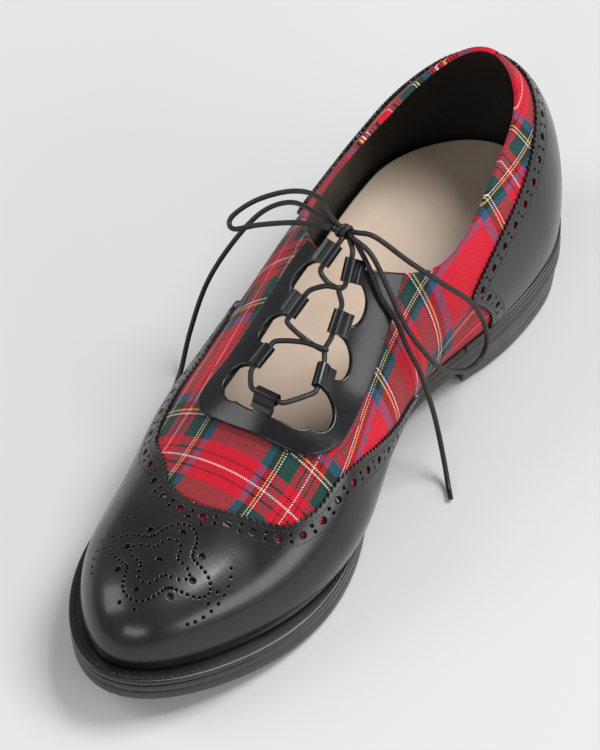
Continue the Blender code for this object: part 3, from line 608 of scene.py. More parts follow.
def girth_table():
    points = surface(FINE_ALONG[:, None], FINE_U[None])
    steps = np.linalg.norm(np.diff(points, axis=1), axis=-1)
    total = np.concatenate([np.zeros((len(FINE_ALONG), 1)), np.cumsum(steps, axis=1)], axis=1)
    return total - total[:, [len(FINE_U) // 2]]


GIRTHS = girth_table()


def look_up(along, u):
    """The signed girth at a place of the last."""
    turn = np.arccos(np.clip(1 - 2 * along / LAST_LENGTH, -1, 1)) / math.pi * (len(FINE_ALONG) - 1)
    row = np.clip(turn.astype(int), 0, len(FINE_ALONG) - 2)
    at = np.clip((u + 1) / 2 * (len(FINE_U) - 1), 0, len(FINE_U) - 1.000001)
    col = at.astype(int)
    a, b = turn - row, at - col
    g = GIRTHS
    near = g[row, col] * (1 - b) + g[row, col + 1] * b
    far = g[row + 1, col] * (1 - b) + g[row + 1, col + 1] * b
    return near * (1 - a) + far * a


def u_at_girth(along, girth):
    made = []
    for a, g in zip(np.atleast_1d(along), np.atleast_1d(girth)):
        row = look_up(np.full(len(FINE_U), a), FINE_U)
        made.append(np.interp(g, row, FINE_U))
    return np.array(made)


def u_at_rise(along, side, rise):
    made = []
    v = np.linspace(0, 1, 121)
    for a, s, r in zip(along, side, rise):
        rises = last_point(a, v, s)[:, 2] - feather(a) - UPPER_SEAT
        made.append(s * (1 - np.interp(r, rises, v)))
    return np.array(made)


def place_and_normal(along, u):
    """Points of the last with their outward normals."""
    step = 0.2 * MM
    along = np.clip(along, 2 * step, LAST_LENGTH - 2 * step)
    ahead = surface(along + step, u) - surface(along - step, u)
    around = surface(along, np.clip(u + 2e-3, -1, 1)) - surface(along, np.clip(u - 2e-3, -1, 1))
    normal = np.cross(ahead, around)
    normal /= np.linalg.norm(normal, axis=-1, keepdims=True)
    return surface(along, u), normal


TUNNELS = {
    "lateral_1": (0.451, -0.010, -0.015),
    "lateral_2": (0.519, -0.036, -0.026),
    "lateral_3": (0.594, -0.092, -0.034),
    "front": (0.641, -0.018, 0.0),
    "medial_3": (0.580, 0.120, 0.008),
    "medial_2": (0.510, 0.102, 0.012),
    "medial_1": (0.454, 0.060, 0.030),
}


def on_last(share, girth_share):
    along = np.array([share * LAST_LENGTH])
    u = u_at_girth(along, np.array([girth_share * BALL_WIDTH]))
    place, normal = place_and_normal(along, u)
    return place[0], normal[0]


def tunnel_frame(name):
    share, girth, turn = TUNNELS[name]
    place, normal = on_last(share, girth)
    if name == "front":
        ahead = on_last(share, girth + 0.05)[0] - on_last(share, girth - 0.05)[0]
    else:
        reach = TUNNEL_LENGTH / 2 / LAST_LENGTH
        front, back = (share - reach, girth - turn / 2), (share + reach, girth + turn / 2)
        ahead = on_last(*front)[0] - on_last(*back)[0]
    axis = unit(ahead - normal * ahead.dot(normal))
    return place + normal * TUNNEL_LIFT, axis, normal


def tunnel_mouth(name, way):
    centre, axis, _ = tunnel_frame(name)
    return centre + axis * way * (TUNNEL_LENGTH / 2 + LACE_CLEARANCE)


print("the last is", round(float(GIRTHS[150, -1] - GIRTHS[150, 0]) / MM), "mm around at its middle")

# %% [markdown]
# The bow is four free cords: two loops that leave the knot and come back to it, and two ends. Each
# one is a curve with a round bevel along the same points as its CAD solid, so it can be measured.

# %% Bow
KNOT_HALF = 4 * MM
KNOT = (0.006, 0.0765, 0.985)
BOW_LATERAL = (
    (-0.160, 0.104, 0.985), (-0.290, 0.110, 0.900), (-0.415, 0.092, 0.815),
    (-0.485, 0.068, 0.740), (-0.455, 0.056, 0.730), (-0.350, 0.066, 0.800), (-0.190, 0.074, 0.905),
)
BOW_MEDIAL = (
    (0.120, 0.087, 0.990), (0.243, 0.100, 0.852), (0.344, 0.125, 0.663),
    (0.415, 0.155, 0.452), (0.446, 0.169, 0.263), (0.455, 0.172, 0.110), (0.448, 0.155, 0.040),
    (0.445, 0.113, 0.145), (0.436, 0.064, 0.389), (0.395, 0.046, 0.562), (0.328, 0.040, 0.722),
    (0.238, 0.050, 0.878), (0.140, 0.066, 0.970),
)
END_LATERAL = (
    (-0.150, 0.094, 0.915), (-0.290, 0.110, 0.820), (-0.415, 0.104, 0.680),
    (-0.520, 0.084, 0.460), (-0.590, 0.052, 0.240), (-0.610, 0.015, 0.020), (-0.600, -0.020, -0.200),
    (-0.570, -0.055, -0.200),
)
END_MEDIAL = (
    (0.146, 0.057, 0.918), (0.218, 0.044, 0.820), (0.287, 0.041, 0.717),
    (0.343, 0.035, 0.600), (0.399, 0.037, 0.428), (0.435, 0.041, 0.210), (0.465, 0.040, 0.040),
    (0.520, 0.025, -0.110), (0.565, 0.008, -0.200), (0.603, -0.008, -0.200),
)
PORTS = {
    "loop_out": (0.45 * MM, 1.25 * MM, 0.9 * MM),
    "loop_back": (0.45 * MM, -1.25 * MM, 0.3 * MM),
    "end": (0.45 * MM, 0.0 * MM, -2.0 * MM),
}


def lace_place(place):
    x, y, rise = place
    y *= LAST_LENGTH
    z = feather(LAST_LENGTH / 2 - y) + rise * INSTEP_HEIGHT
    return np.array([x * BALL_WIDTH, y, max(z, LACE_DIAMETER / 2 + 0.2 * MM)])


def port(side, name):
    out, y, z = PORTS[name]
    return lace_place(KNOT) + np.array([side * (KNOT_HALF + out), y, z])


def lace_line(name, points, steps=6, closed=False):
    line = smooth_line(points, steps) + SHIFT
    data = bpy.data.curves.new(name, "CURVE")
    data.dimensions = "3D"
    data.bevel_depth = LACE_DIAMETER / 2
    data.bevel_resolution = 4
    data.use_fill_caps = True
    piece = data.splines.new("POLY")
    piece.points.add(len(line) - 1)
    for knot, point in zip(piece.points, line):
        knot.co = (*point, 1)
    piece.use_smooth = True
    piece.use_cyclic_u = closed
    return new_object(name, data, [LACE]), line


def bow_cord(name, side, places, far_end):
    points = [lace_place(place) for place in places]
    if far_end == "object":
        points = [port(side, "loop_out"), *points, port(side, "loop_back")]
    else:
        points = [port(side, "end"), *points]
    thing, line = lace_line(name, points)
    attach(thing, "root")
    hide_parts(name.replace("bow_lace_", "bow_loop_").replace("loose_end_", "lace_end_"))


bow_cord("bow_lace_lateral", -1, BOW_LATERAL, "object")
bow_cord("bow_lace_medial", 1, BOW_MEDIAL, "object")
bow_cord("loose_end_lateral", -1, END_LATERAL, "bare")
bow_cord("loose_end_medial", 1, END_MEDIAL, "bare")

# %% [markdown]
# The lace itself starts inside the front loop, runs up through the loops of each side, and the two
# halves hook round each other twice on the way to the knot. It is drawn as two long curves.

# %% Laced strands
EASE_STEP, EASE_ROUNDS = 0.5 * MM, 14


def eased(points):
    """A smoother line through nearly the same places, with even steps."""
    line = smooth_line(points, 8)
    lengths = walked(line)
    line = at_lengths(line, lengths, np.linspace(0, lengths[-1], int(lengths[-1] / EASE_STEP)))
    for _ in range(EASE_ROUNDS):
        line[1:-1] = (line[:-2] + 2 * line[1:-1] + line[2:]) / 4
    return line


HOOKS = {"low": (0.548, 0.100), "high": (0.478, 0.055)}
HOOK_LIFT = 3.0 * MM
HOOK_TURN = 1.25 * MM
HOOK_BOW = 1.6 * MM


def strand(side, way):
    centre, axis, _ = tunnel_frame("front")
    out = axis * way
    start = tunnel_mouth("front", way)
    points = [centre, start, start + out * LACE_STRAIGHT]
    levels = ((3, "low"), (2, "high"), (1, None))
    for number, hook in levels:
        name = f"{side}_{number}"
        inner = tunnel_frame(name)[1]
        low, high = tunnel_mouth(name, -1), tunnel_mouth(name, 1)
        ahead = high + inner * LACE_STRAIGHT
        points += [low - inner * LACE_STRAIGHT, low, high, ahead]
        if hook:
            place, normal = on_last(*HOOKS[hook])
            hooked = place + normal * HOOK_LIFT
            across = unit(hooked - tunnel_mouth(f"lateral_{number}", 1))
            after = tunnel_mouth(f"{side}_{number - 1}", -1)
            if side == "medial":
                points.append(hooked)
            else:
                points += [
                    (ahead + hooked) / 2 + inner * HOOK_BOW,
                    hooked + normal * HOOK_TURN - across * HOOK_TURN * 0.3,
                    hooked + across * HOOK_TURN * 1.2,
                    hooked - normal * HOOK_TURN * 0.8 - across * HOOK_TURN * 0.3,
                    (after + hooked) / 2 - inner * HOOK_BOW * 1.3,
                ]
    points.append(lace_place(KNOT) + np.array([way * 0.6, 1.0, -1.2]) * MM)
    return points


def to_mesh(things, name):
    bpy.context.view_layer.update()
    graph = bpy.context.evaluated_depsgraph_get()
    joined = bmesh.new()
    for thing in things:
        mesh = bpy.data.meshes.new_from_object(thing.evaluated_get(graph))
        mesh.transform(thing.matrix_world)
        joined.from_mesh(mesh)
        materials = list(mesh.materials)
    mesh = bpy.data.meshes.new(name)
    joined.to_mesh(mesh)
    joined.free()
    for thing in things:
        bpy.data.objects.remove(thing, do_unlink=True)
    return new_object(name, mesh, materials)


strands = [
    lace_line(f"strand_{side}", eased(strand(side, way)), 1)[0]
    for side, way in (("lateral", -1), ("medial", 1))
]
keep(
    to_mesh(strands, "laced_strands"),
    ("lace_front_lateral", "lace_front_medial", "lace_crossing_low", "lace_crossing_high"),
)

# %% [markdown]
# The knot is three short passes of lace from side to side, with two tilted turns wrapped round them.

# %% Knot
def knot_ring(tilt, shift, radius):
    centre = lace_place(KNOT)
    ring = []
    for i in range(14):
        turn = 2 * math.pi * i / 14
        ring.append(centre + np.array([
            shift + tilt * math.cos(turn), radius * math.cos(turn), radius * 1.05 * math.sin(turn)
        ]) * MM)
    return ring


def knot_pieces():
    made = []
    for name in PORTS:
        ends = [port(side, name) for side in (-1, 1)]
        mid = lace_place(KNOT) + np.array([0, 0.6, -0.3]) * MM
        nearer = [mid + (end - mid) * 0.4 for end in ends]
        line = [ends[0], nearer[0], mid, nearer[1], ends[1]]
        made.append(lace_line(f"pass_{name}", line)[0])
    for i, (tilt, shift) in enumerate(((0.9, -0.9), (0.7, 0.9))):
        made.append(lace_line(f"wrap_{i}", knot_ring(tilt, shift, 2.0), 3, True)[0])
    return made


keep(to_mesh(knot_pieces(), "bow_knot"), ("lace_knot",))

# %% [markdown]
# The upper and its overlays are sheets in two numbers: the distance along the last and the share
# around it. A sheet is first split finely where an outline passes, then cut along that outline,
# and last lifted off the surface and given its thickness, with its outer edge rounded.

# %% Cutting sheets
def base_sheet(rows, cols):
    along = LAST_LENGTH * (1 - np.cos(np.linspace(0, math.pi, rows))) / 2
    u = np.linspace(-1, 1, cols)
    a, b = np.meshgrid(along, u, indexing="ij")
    places = np.stack([a.ravel(), b.ravel()], -1)
    i, j = np.meshgrid(np.arange(rows - 1), np.arange(cols - 1), indexing="ij")
    p = (i * cols + j).ravel()
    q, r, s = p + cols, p + cols + 1, p + 1
    return places, np.vstack([np.stack([p, r, s], -1), np.stack([p, q, r], -1)])


def edges_of(tris):
    pairs = np.sort(tris[:, [[0, 1], [1, 2], [2, 0]]].reshape(-1, 2), axis=1)
    edges, back = np.unique(pairs, axis=0, return_inverse=True)
    return edges, back.reshape(-1, 3)


def split(tris, mids):
    """Splits triangles at the numbered midpoints of their edges, where there are any."""
    made = [tris[(mids < 0).all(1)]]
    marks = mids >= 0
    full = marks.all(1)
    a, b, c = tris[full].T
    x, y, z = mids[full].T
    made += [np.stack(t, -1) for t in ((a, x, z), (x, b, y), (z, y, c), (x, y, z))]
    for k in range(3):
        order = [k, (k + 1) % 3, (k + 2) % 3]
        turned, mid, mark = tris[:, order], mids[:, order], marks[:, order]
        one = mark[:, 0] & ~mark[:, 1] & ~mark[:, 2]
        a, b, c = turned[one].T
        x = mid[one, 0]
        made += [np.stack(t, -1) for t in ((a, x, c), (x, b, c))]
        two = mark[:, 0] & mark[:, 1] & ~mark[:, 2]
        a, b, c = turned[two].T
        x, y = mid[two, 0], mid[two, 1]
        made += [np.stack(t, -1) for t in ((x, b, y), (a, x, y), (a, y, c))]
    return np.vstack(made)


def refine(places, tris, field, finest, steps):
    for _ in range(steps):
        value = field(places)
        points = surface(places[:, 0], places[:, 1])
        edges, back = edges_of(tris)
        length = np.linalg.norm(points[edges[:, 0]] - points[edges[:, 1]], axis=1)
        near = np.abs(value[edges]).min(1) < 0.75 * length
        marked = near & (length > finest)
        if not marked.any():
            break
        number = np.full(len(edges), -1)
        number[marked] = len(places) + np.arange(marked.sum())
        places = np.vstack([places, places[edges[marked]].mean(1)])
        tris = split(tris, number[back])
    return places, tris


def cut(places, tris, value, drop):
    """Cuts the triangles where the value is zero, and drops the negative side if asked."""
    value = np.where(np.abs(value) < 1e-6, 1e-6, value)
    edges, back = edges_of(tris)
    a, b = value[edges[:, 0]], value[edges[:, 1]]
    crossed = a * b < 0
    share = (a / np.where(crossed, a - b, 1))[crossed, None]
    fresh = places[edges[crossed, 0]] * (1 - share) + places[edges[crossed, 1]] * share
    number = np.full(len(edges), -1)
    number[crossed] = len(places) + np.arange(crossed.sum())
    mids = number[back]
    places = np.vstack([places, fresh])
    value = np.concatenate([value, np.zeros(len(fresh))])
    tris = split(tris, mids)
    if drop:
        tris = tris[value[tris].max(1) > 0]
        tris = tris[value[tris].min(1) >= 0]
    return places, tris, value


def largest_patch(tris, count):
    label = np.arange(count)
    while True:
        low = label[tris].min(1)
        fresh = label.copy()
        np.minimum.at(fresh, tris.ravel(), np.repeat(low, 3))
        fresh = fresh[fresh]
        if (fresh == label).all():
            break
        label = fresh
    names, sizes = np.unique(label[tris[:, 0]], return_counts=True)
    return tris[label[tris[:, 0]] == names[sizes.argmax()]]


def weld(points, places, tris):
    keys = np.round(points / 2e-6).astype(np.int64)
    _, first, back = np.unique(keys, axis=0, return_index=True, return_inverse=True)
    tris = back.reshape(-1)[tris]
    good = (tris[:, 0] != tris[:, 1]) & (tris[:, 1] != tris[:, 2]) & (tris[:, 0] != tris[:, 2])
    return points[first], places[first], tris[good]


CAP_STRIP, LOW_STRIP = 10 * MM, 2.5 * MM
THROAT_STRIP, COLLAR_STRIP = 2.5 * MM, 1.5 * MM
SHEET_CREASE = 50


def lined_slots(places, tris, rim):
    """Cloth outside and lining inside, with lining also deep under overlays and at the throat."""
    along, girth, rise, side = read(places)
    wing, _ = inside(WING_AREA, np.stack([along, girth], -1))
    heel, _ = inside(COUNTER, np.stack([along * side, rise], -1))
    over = np.maximum(wing, heel)
    dark = (over > CAP_STRIP) | ((over > 0) & (rise < LOW_STRIP))
    throat, _ = inside(THROAT, np.stack([along, girth], -1))
    near = (throat > -THROAT_STRIP) & (collar_field(along, rise) > COLLAR_STRIP)
    outer = dark[tris].any(1) | near[tris].any(1)
    return np.concatenate([outer, np.ones(len(tris)), np.tile(near[rim].all(1), 2)])


def shell(name, field, lift, wall, outwards, materials, finest, rows, cols, steps, edge_round):
    """A piece of the last's surface with a thickness and a rounded outer edge."""
    places, tris = base_sheet(rows, cols)
    places, tris = refine(places, tris, field, finest, steps)
    if edge_round:
        places, tris, _ = cut(places, tris, field(places) - edge_round, False)
        places, tris, _ = cut(places, tris, field(places) - edge_round * 0.35, False)
    places, tris, value = cut(places, tris, field(places), True)
    points, places, tris = weld(surface(places[:, 0], places[:, 1]), places, tris)
    tris = largest_patch(tris, len(places))
    used, back = np.unique(tris, return_inverse=True)
    points, places, tris = points[used], places[used], back.reshape(-1, 3)
    _, normal = place_and_normal(places[:, 0], places[:, 1])
    value = field(places)
    soft = np.clip(value / edge_round, 0, 1) if edge_round else np.ones(len(value))
    drop = (1 - np.sqrt(1 - (1 - soft) ** 2)) * min(wall, edge_round or wall) * 0.8
    top = lift + (wall if outwards else 0.0) - drop
    low = lift - (0.0 if outwards else wall)
    outer, inner = points + normal * top[:, None], points + normal * low
    count = len(points)
    pairs = tris[:, [[0, 1], [1, 2], [2, 0]]].reshape(-1, 2)
    codes = pairs[:, 0] * count + pairs[:, 1]
    rim = pairs[~np.isin(pairs[:, 1] * count + pairs[:, 0], codes)]
    a, b = rim.T
    walls = np.vstack([np.stack([b, a, a + count], -1), np.stack([b, a + count, b + count], -1)])
    faces = np.vstack([tris, tris[:, ::-1] + count, walls])
    slots = lined_slots(places, tris, rim) if len(materials) > 1 else None
    thing = make_mesh(name, np.vstack([outer, inner]), faces, materials, slots)
    weave = thing.data.uv_layers.new(name="weave")
    spread = np.stack([look_up(places[:, 0], places[:, 1]), places[:, 0]], -1)
    corners = np.vstack([spread, spread])[faces.ravel()]
    weave.data.foreach_set("uv", corners.ravel())
    thing.data.set_sharp_from_angle(angle=math.radians(SHEET_CREASE))
    return thing


# %% [markdown]
# A pattern cutter draws each leather piece flat. Here an outline is a smooth line through a few
# points, and a field says how far inside it a place lies, so the sheet is cut where it is zero.

# %% Outlines
WING_EDGE = (
    (0.410, -1.15), (0.424, -0.900), (0.452, -0.720), (0.502, -0.516), (0.572, -0.490),
    (0.662, -0.485), (0.716, -0.420), (0.743, -0.301), (0.776, -0.185), (0.788, -0.050),
    (0.776, 0.085), (0.760, 0.214), (0.742, 0.282), (0.708, 0.327), (0.664, 0.345),
    (0.618, 0.405), (0.569, 0.488), (0.510, 0.598), (0.466, 0.672), (0.440, 0.800),
    (0.424, 0.920), (0.410, 1.15),
)
STAY_EDGE = (
    (0.340, -0.080), (0.400, -0.112), (0.430, -0.145), (0.462, -0.180), (0.500, -0.205),
    (0.561, -0.242), (0.600, -0.270), (0.630, -0.298), (0.655, -0.312), (0.673, -0.290),
    (0.683, -0.240), (0.688, -0.130), (0.687, 0.003), (0.680, 0.143), (0.662, 0.231),
    (0.632, 0.291), (0.590, 0.320), (0.549, 0.332), (0.506, 0.332), (0.470, 0.318),
    (0.439, 0.294), (0.400, 0.252), (0.340, 0.200),
)
OPENING_EDGE = (
    (0.340, -0.036), (0.400, -0.036), (0.450, -0.038), (0.519, -0.066), (0.595, -0.120),
    (0.634, -0.145), (0.656, -0.140), (0.662, -0.070), (0.660, 0.030), (0.652, 0.130),
    (0.635, 0.160), (0.580, 0.150), (0.510, 0.132), (0.455, 0.090), (0.400, 0.074), (0.340, 0.070),
)
THROAT_EDGE = (
    (0.340, -0.072), (0.430, -0.092), (0.490, -0.138), (0.560, -0.178), (0.634, -0.240),
    (0.656, -0.232), (0.671, -0.150), (0.674, 0.000), (0.668, 0.120), (0.655, 0.200),
    (0.630, 0.248), (0.600, 0.254), (0.540, 0.246), (0.476, 0.214), (0.430, 0.170), (0.340, 0.125),
)
COUNTER_EDGE = (
    (-0.247, -0.20), (-0.252, 0.060), (-0.290, 0.280), (-0.348, 0.590), (-0.257, 0.573),
    (-0.223, 0.593), (-0.147, 0.663), (-0.083, 0.756), (-0.040, 0.820), (0.0, 0.830),
    (0.050, 0.779), (0.115, 0.694), (0.185, 0.597), (0.274, 0.503), (0.326, 0.409),
    (0.306, 0.250), (0.290, 0.090), (0.288, -0.20),
)
BITES = (
    (0.487, -0.046, 0.068), (0.558, -0.088, 0.071), (0.634, -0.152, 0.072),
    (0.616, 0.160, 0.074), (0.544, 0.156, 0.070), (0.481, 0.122, 0.068),
)
FRONT_TAB_WIDTH = 7 * MM
SCALE = np.array([LAST_LENGTH, BALL_WIDTH])
WING = smooth_line(WING_EDGE) * SCALE
STAY = smooth_line(STAY_EDGE) * SCALE
OPENING = smooth_line(OPENING_EDGE) * SCALE
THROAT = smooth_line(THROAT_EDGE) * SCALE
COUNTER = smooth_line(COUNTER_EDGE, 3) * np.array([LAST_LENGTH, BACK_HEIGHT])
BEYOND = [[2 * LAST_LENGTH, 3 * BALL_WIDTH], [2 * LAST_LENGTH, -3 * BALL_WIDTH]]
WING_AREA = np.vstack([WING, BEYOND])


def inside(polygon, points):
    """Signed distance from a closed polygon, and the distance along its outline."""
    sides = np.roll(polygon, -1, 0) - polygon
    lengths = np.linalg.norm(sides, axis=1)
    before = np.concatenate([[0], np.cumsum(lengths)[:-1]])
    rise = np.where(sides[:, 1] == 0, 1, sides[:, 1])
    distance, arc = [], []
    for part in np.array_split(points, max(1, len(points) // 20000)):
        to_points = part[:, None] - polygon
        t = np.clip((to_points * sides).sum(-1) / (sides**2).sum(-1), 0, 1)
        away = np.linalg.norm(to_points - t[..., None] * sides, axis=-1)
        best = away.argmin(1)
        row = np.arange(len(part))
        ends = polygon + sides
        crosses = (polygon[:, 1] > part[:, None, 1]) != (ends[:, 1] > part[:, None, 1])
        meet = polygon[:, 0] + sides[:, 0] * (part[:, None, 1] - polygon[:, 1]) / rise
        odd = (crosses & (part[:, None, 0] < meet)).sum(1) % 2 == 1
        distance.append(np.where(odd, away[row, best], -away[row, best]))
        arc.append(before[best] + t[row, best] * lengths[best])
    return np.concatenate(distance), np.concatenate(arc)


def read(places):
    along, u = places.T
    rise = surface(along, u)[:, 2] - feather(along) - UPPER_SEAT
    return along, look_up(along, u), rise, np.sign(u)


def collar_field(along, rise):
    return spline(COLLAR, along / LAST_LENGTH) * BACK_HEIGHT - rise


def upper_field(places):
    along, girth, rise, _ = read(places)
    throat, _ = inside(THROAT, np.stack([along, girth], -1))
    return np.minimum(collar_field(along, rise), -throat)


def eyestay_field(places):
    along, girth, rise, _ = read(places)
    points = np.stack([along, girth], -1)
    opening, _ = inside(OPENING, points)
    for share, place, radius in BITES:
        away = np.linalg.norm(points - np.array([share, place]) * SCALE, axis=1)
        opening = np.maximum(opening, radius * BALL_WIDTH - away)
    tip = np.array(TUNNELS["front"][:2]) * SCALE
    tip[0] += TUNNEL_DIAMETER / 2 + TUNNEL_CLEARANCE
    offset = points - tip
    tab = np.minimum(offset[:, 0], FRONT_TAB_WIDTH / 2 - abs(offset[:, 1]))
    stay, _ = inside(STAY, points)
    return np.minimum(np.minimum(stay, np.maximum(-opening, tab)), collar_field(along, rise))


print("outlines:", len(WING), len(STAY), len(COUNTER), "points")

# %% [markdown]
# Cloth for the upper is cut, lined and pulled over the last in one go. It is one sheet with the
# tartan outside and dark leather inside, and its edge is turned over at the collar.

# %% Upper
upper = shell(
    "tartan_upper", upper_field, 0, UPPER_WALL, False, [CLOTH, LINING], 1.2 * MM, 180, 130, 2, 0.9 * MM
)
keep(upper, ("upper",))

# %% [markdown]
# The facing is the stiff frame around the throat. Round bites between its loops are added to the
# opening before the cut, and a small tab is left under the front loop.

# %% Facing
facing = shell(
    "facing", eyestay_field, GAP, EYESTAY_WALL, True, [FACING], 0.7 * MM, 160, 110, 3, 0.7 * MM
)
keep(facing, ("eyestay",))

# %% [markdown]
# A brogue's overlays are punched and pinked. The punch is a pair of small holes between two large
# ones, on a line beside the edge, and the edge is a row of small teeth. Both are cut through the
# sheet here, so the red cloth shows through the holes. The teeth come from a saw wave of the
# distance along the edge.

# %% Punching
PINK_PITCH, PINK_DEPTH = 2.3 * MM, 1.1 * MM
PUNCH_LINE, PUNCH_PITCH = 5.0 * MM, 9.3 * MM
LARGE_HOLE, SMALL_HOLE = 1.35 * MM, 0.6 * MM
TINY_HOLE = 0.5 * MM
PAIR_SPREAD = 1.25 * MM


def offset_line(line, distance, step):
    """A line beside a polyline, with points at even steps."""
    tangent = np.gradient(line, axis=0)
    tangent /= np.linalg.norm(tangent, axis=1, keepdims=True)
    moved = line + np.stack([-tangent[:, 1], tangent[:, 0]], -1) * distance
    lengths = walked(moved)
    return at_lengths(moved, lengths, np.arange(0, lengths[-1], step))


def on_girth(row):
    return place_and_normal(row[:, 0], u_at_girth(row[:, 0], row[:, 1]))


def on_rise(row):
    side = np.where(row[:, 0] < 0, -1.0, 1.0)
    return place_and_normal(np.abs(row[:, 0]), u_at_rise(np.abs(row[:, 0]), side, row[:, 1]))


def punch(line, distance, carry):
    """Holes beside an edge, evenly spaced on the real surface, as (centre, radius)."""
    points, normals = carry(offset_line(line, distance, 0.6 * MM))
    good = points[:, 2] - feather(LAST_LENGTH / 2 - points[:, 1]) > 6 * MM
    points, normals = points[good], normals[good]
    lengths = walked(points)
    at = np.arange(0, lengths[-1], PUNCH_PITCH / 2)
    row, up = at_lengths(points, lengths, at), at_lengths(normals, lengths, at)
    across = np.cross(up, np.gradient(row, axis=0))
    across *= PAIR_SPREAD / np.linalg.norm(across, axis=1, keepdims=True)
    holes = [(place, LARGE_HOLE) for place in row[::2]]
    for place, aside in zip(row[1::2], across[1::2]):
        holes += [(place + aside, SMALL_HOLE), (place - aside, SMALL_HOLE)]
    return holes


def pinked(line, polygon, points, carry):
    """Distance from an edge cut in teeth of an even real length."""
    distance, arc = inside(polygon, points)
    real = np.interp(arc, walked(line), walked(carry(line)[0]))
    return distance - PINK_DEPTH * np.abs((real / PINK_PITCH) % 1 - 0.5) * 2


def open_holes(value, places, holes):
    points = surface(places[:, 0], places[:, 1])
    for centre, radius in holes:
        value = np.minimum(value, np.linalg.norm(points - centre, axis=1) - radius)
    return value


# %% [markdown]
# A medallion is punched through a template. Small holes follow two nested curves of four lobes, and
# larger ones mark the lobes and the places between them.

# %% Toe medallion
MEDALLION_PLACE = np.array([0.884 * LAST_LENGTH, -0.5 * MM])


def medallion():
    """Small holes on two nested curves of four lobes, with large ones at the lobes and between."""
    holes = [(0.0, 0.0, LARGE_HOLE)]
    for count, middle_reach, lobe in ((30, 8.0, 2.2), (64, 14.0, 3.6)):
        for i in range(count):
            turn = 2 * math.pi * i / count
            reach = (middle_reach + lobe * math.cos(4 * turn)) * MM
            holes.append((reach * math.cos(turn), reach * math.sin(turn) * 1.2, TINY_HOLE))
    for i in range(8):
        turn = math.pi * i / 4
        reach = (14.0 if i % 2 == 0 else 13.6) * MM
        wide = 1.0 if i % 2 == 0 else 1.15
        holes.append((reach * math.cos(turn), reach * math.sin(turn) * wide, LARGE_HOLE * 0.85))
    for i in range(4):
        turn = math.pi / 2 * i
        for spread in (-0.13, 0.13):
            reach = 20.3 * MM
            holes.append((
                reach * math.cos(turn + spread), reach * math.sin(turn + spread) * 1.15, SMALL_HOLE
            ))
    for way in (-1, 1):
        for i in range(9):
            turn = math.radians(-52 + 13 * i)
            holes.append((
                16.0 * MM * math.sin(turn), way * (14.5 + 11.5 * math.cos(turn)) * MM, TINY_HOLE
            ))
    holes = np.array(holes)
    centres, _ = on_girth(holes[:, :2] + MEDALLION_PLACE)
    return list(zip(centres, holes[:, 2]))


WING_HOLES = punch(WING, -PUNCH_LINE, on_girth) + medallion()
print("holes in the toe wing:", len(WING_HOLES))


def wing_field(places):
    along, girth, rise, _ = read(places)
    points = np.stack([along, girth], -1)
    edge = pinked(WING, WING_AREA, points, on_girth)
    return open_holes(np.minimum(edge, rise - OVERLAY_SEAT), places, WING_HOLES)


# %% Toe wing
wing = shell(
    "toe_wing_cap", wing_field, GAP, OVERLAY_WALL, True, [BLACK], 0.62 * MM, 160, 110, 4, 0.35 * MM
)
keep(wing, ("toe_wing",))

# %% [markdown]
# The counter is cut in the same way, but its outline is drawn by height over the sole, with the
# outer side at negative places, because it wraps round the heel in one piece.

# %% Heel counter
COUNTER_HOLES = punch(COUNTER, -PUNCH_LINE * 0.9, on_rise)


def counter_field(places):
    along, _, rise, side = read(places)
    points = np.stack([along * side, rise], -1)
    edge = pinked(COUNTER, COUNTER, points, on_rise)
    return open_holes(np.minimum(edge, rise - OVERLAY_SEAT), places, COUNTER_HOLES)


counter = shell(
    "counter", counter_field, GAP, OVERLAY_WALL, True, [BLACK], 0.62 * MM, 160, 110, 4, 0.35 * MM
)
keep(counter, ("heel_counter",))

# %% [markdown]
# Each loop is a narrow strap of the facing's leather, rolled round a tube and stitched down. A
# profile like a letter P is swept along the loop: its tail lies on the facing and its bowl is the
# tube that the lace runs through.

# %% Rolled loops
LOOP_OUTWARDS = {"lateral": (-1.0, 0, 0), "medial": (1.0, 0, 0), "front": (0, -1.0, 0)}
LOOP_TAIL = 6.0 * MM
LOOP_SWEEP = (
    (-1.0, 0.90), (-0.97, 0.97), (-0.9, 1.0), (0.0, 1.0), (0.9, 1.0), (0.97, 0.97), (1.0, 0.90),
)
MERGE = 1e-6
LOOP_CREASE = 50


def loop_profile(tail):
    """Outer and inner lines of the rolled strap: first number outwards, second number up."""
    radius = TUNNEL_DIAMETER / 2
    turns = np.radians(np.linspace(140, -205, 40))
    outer = [np.array([math.cos(t), math.sin(t)]) * radius for t in turns]
    inner = [np.array([math.cos(t), math.sin(t)]) * (radius - TUNNEL_WALL) for t in turns]
    top = np.array(outer[0])
    foot = np.array([-tail, -1.05 * MM])
    bend = np.array([-tail * 0.62, -0.55 * MM])
    strap = smooth_line([foot, bend, top], 6)[:-1]
    under = strap + np.array([0.15, -TUNNEL_WALL * 0.8 / MM]) * MM
    return np.vstack([strap, outer]), np.vstack([under, inner])


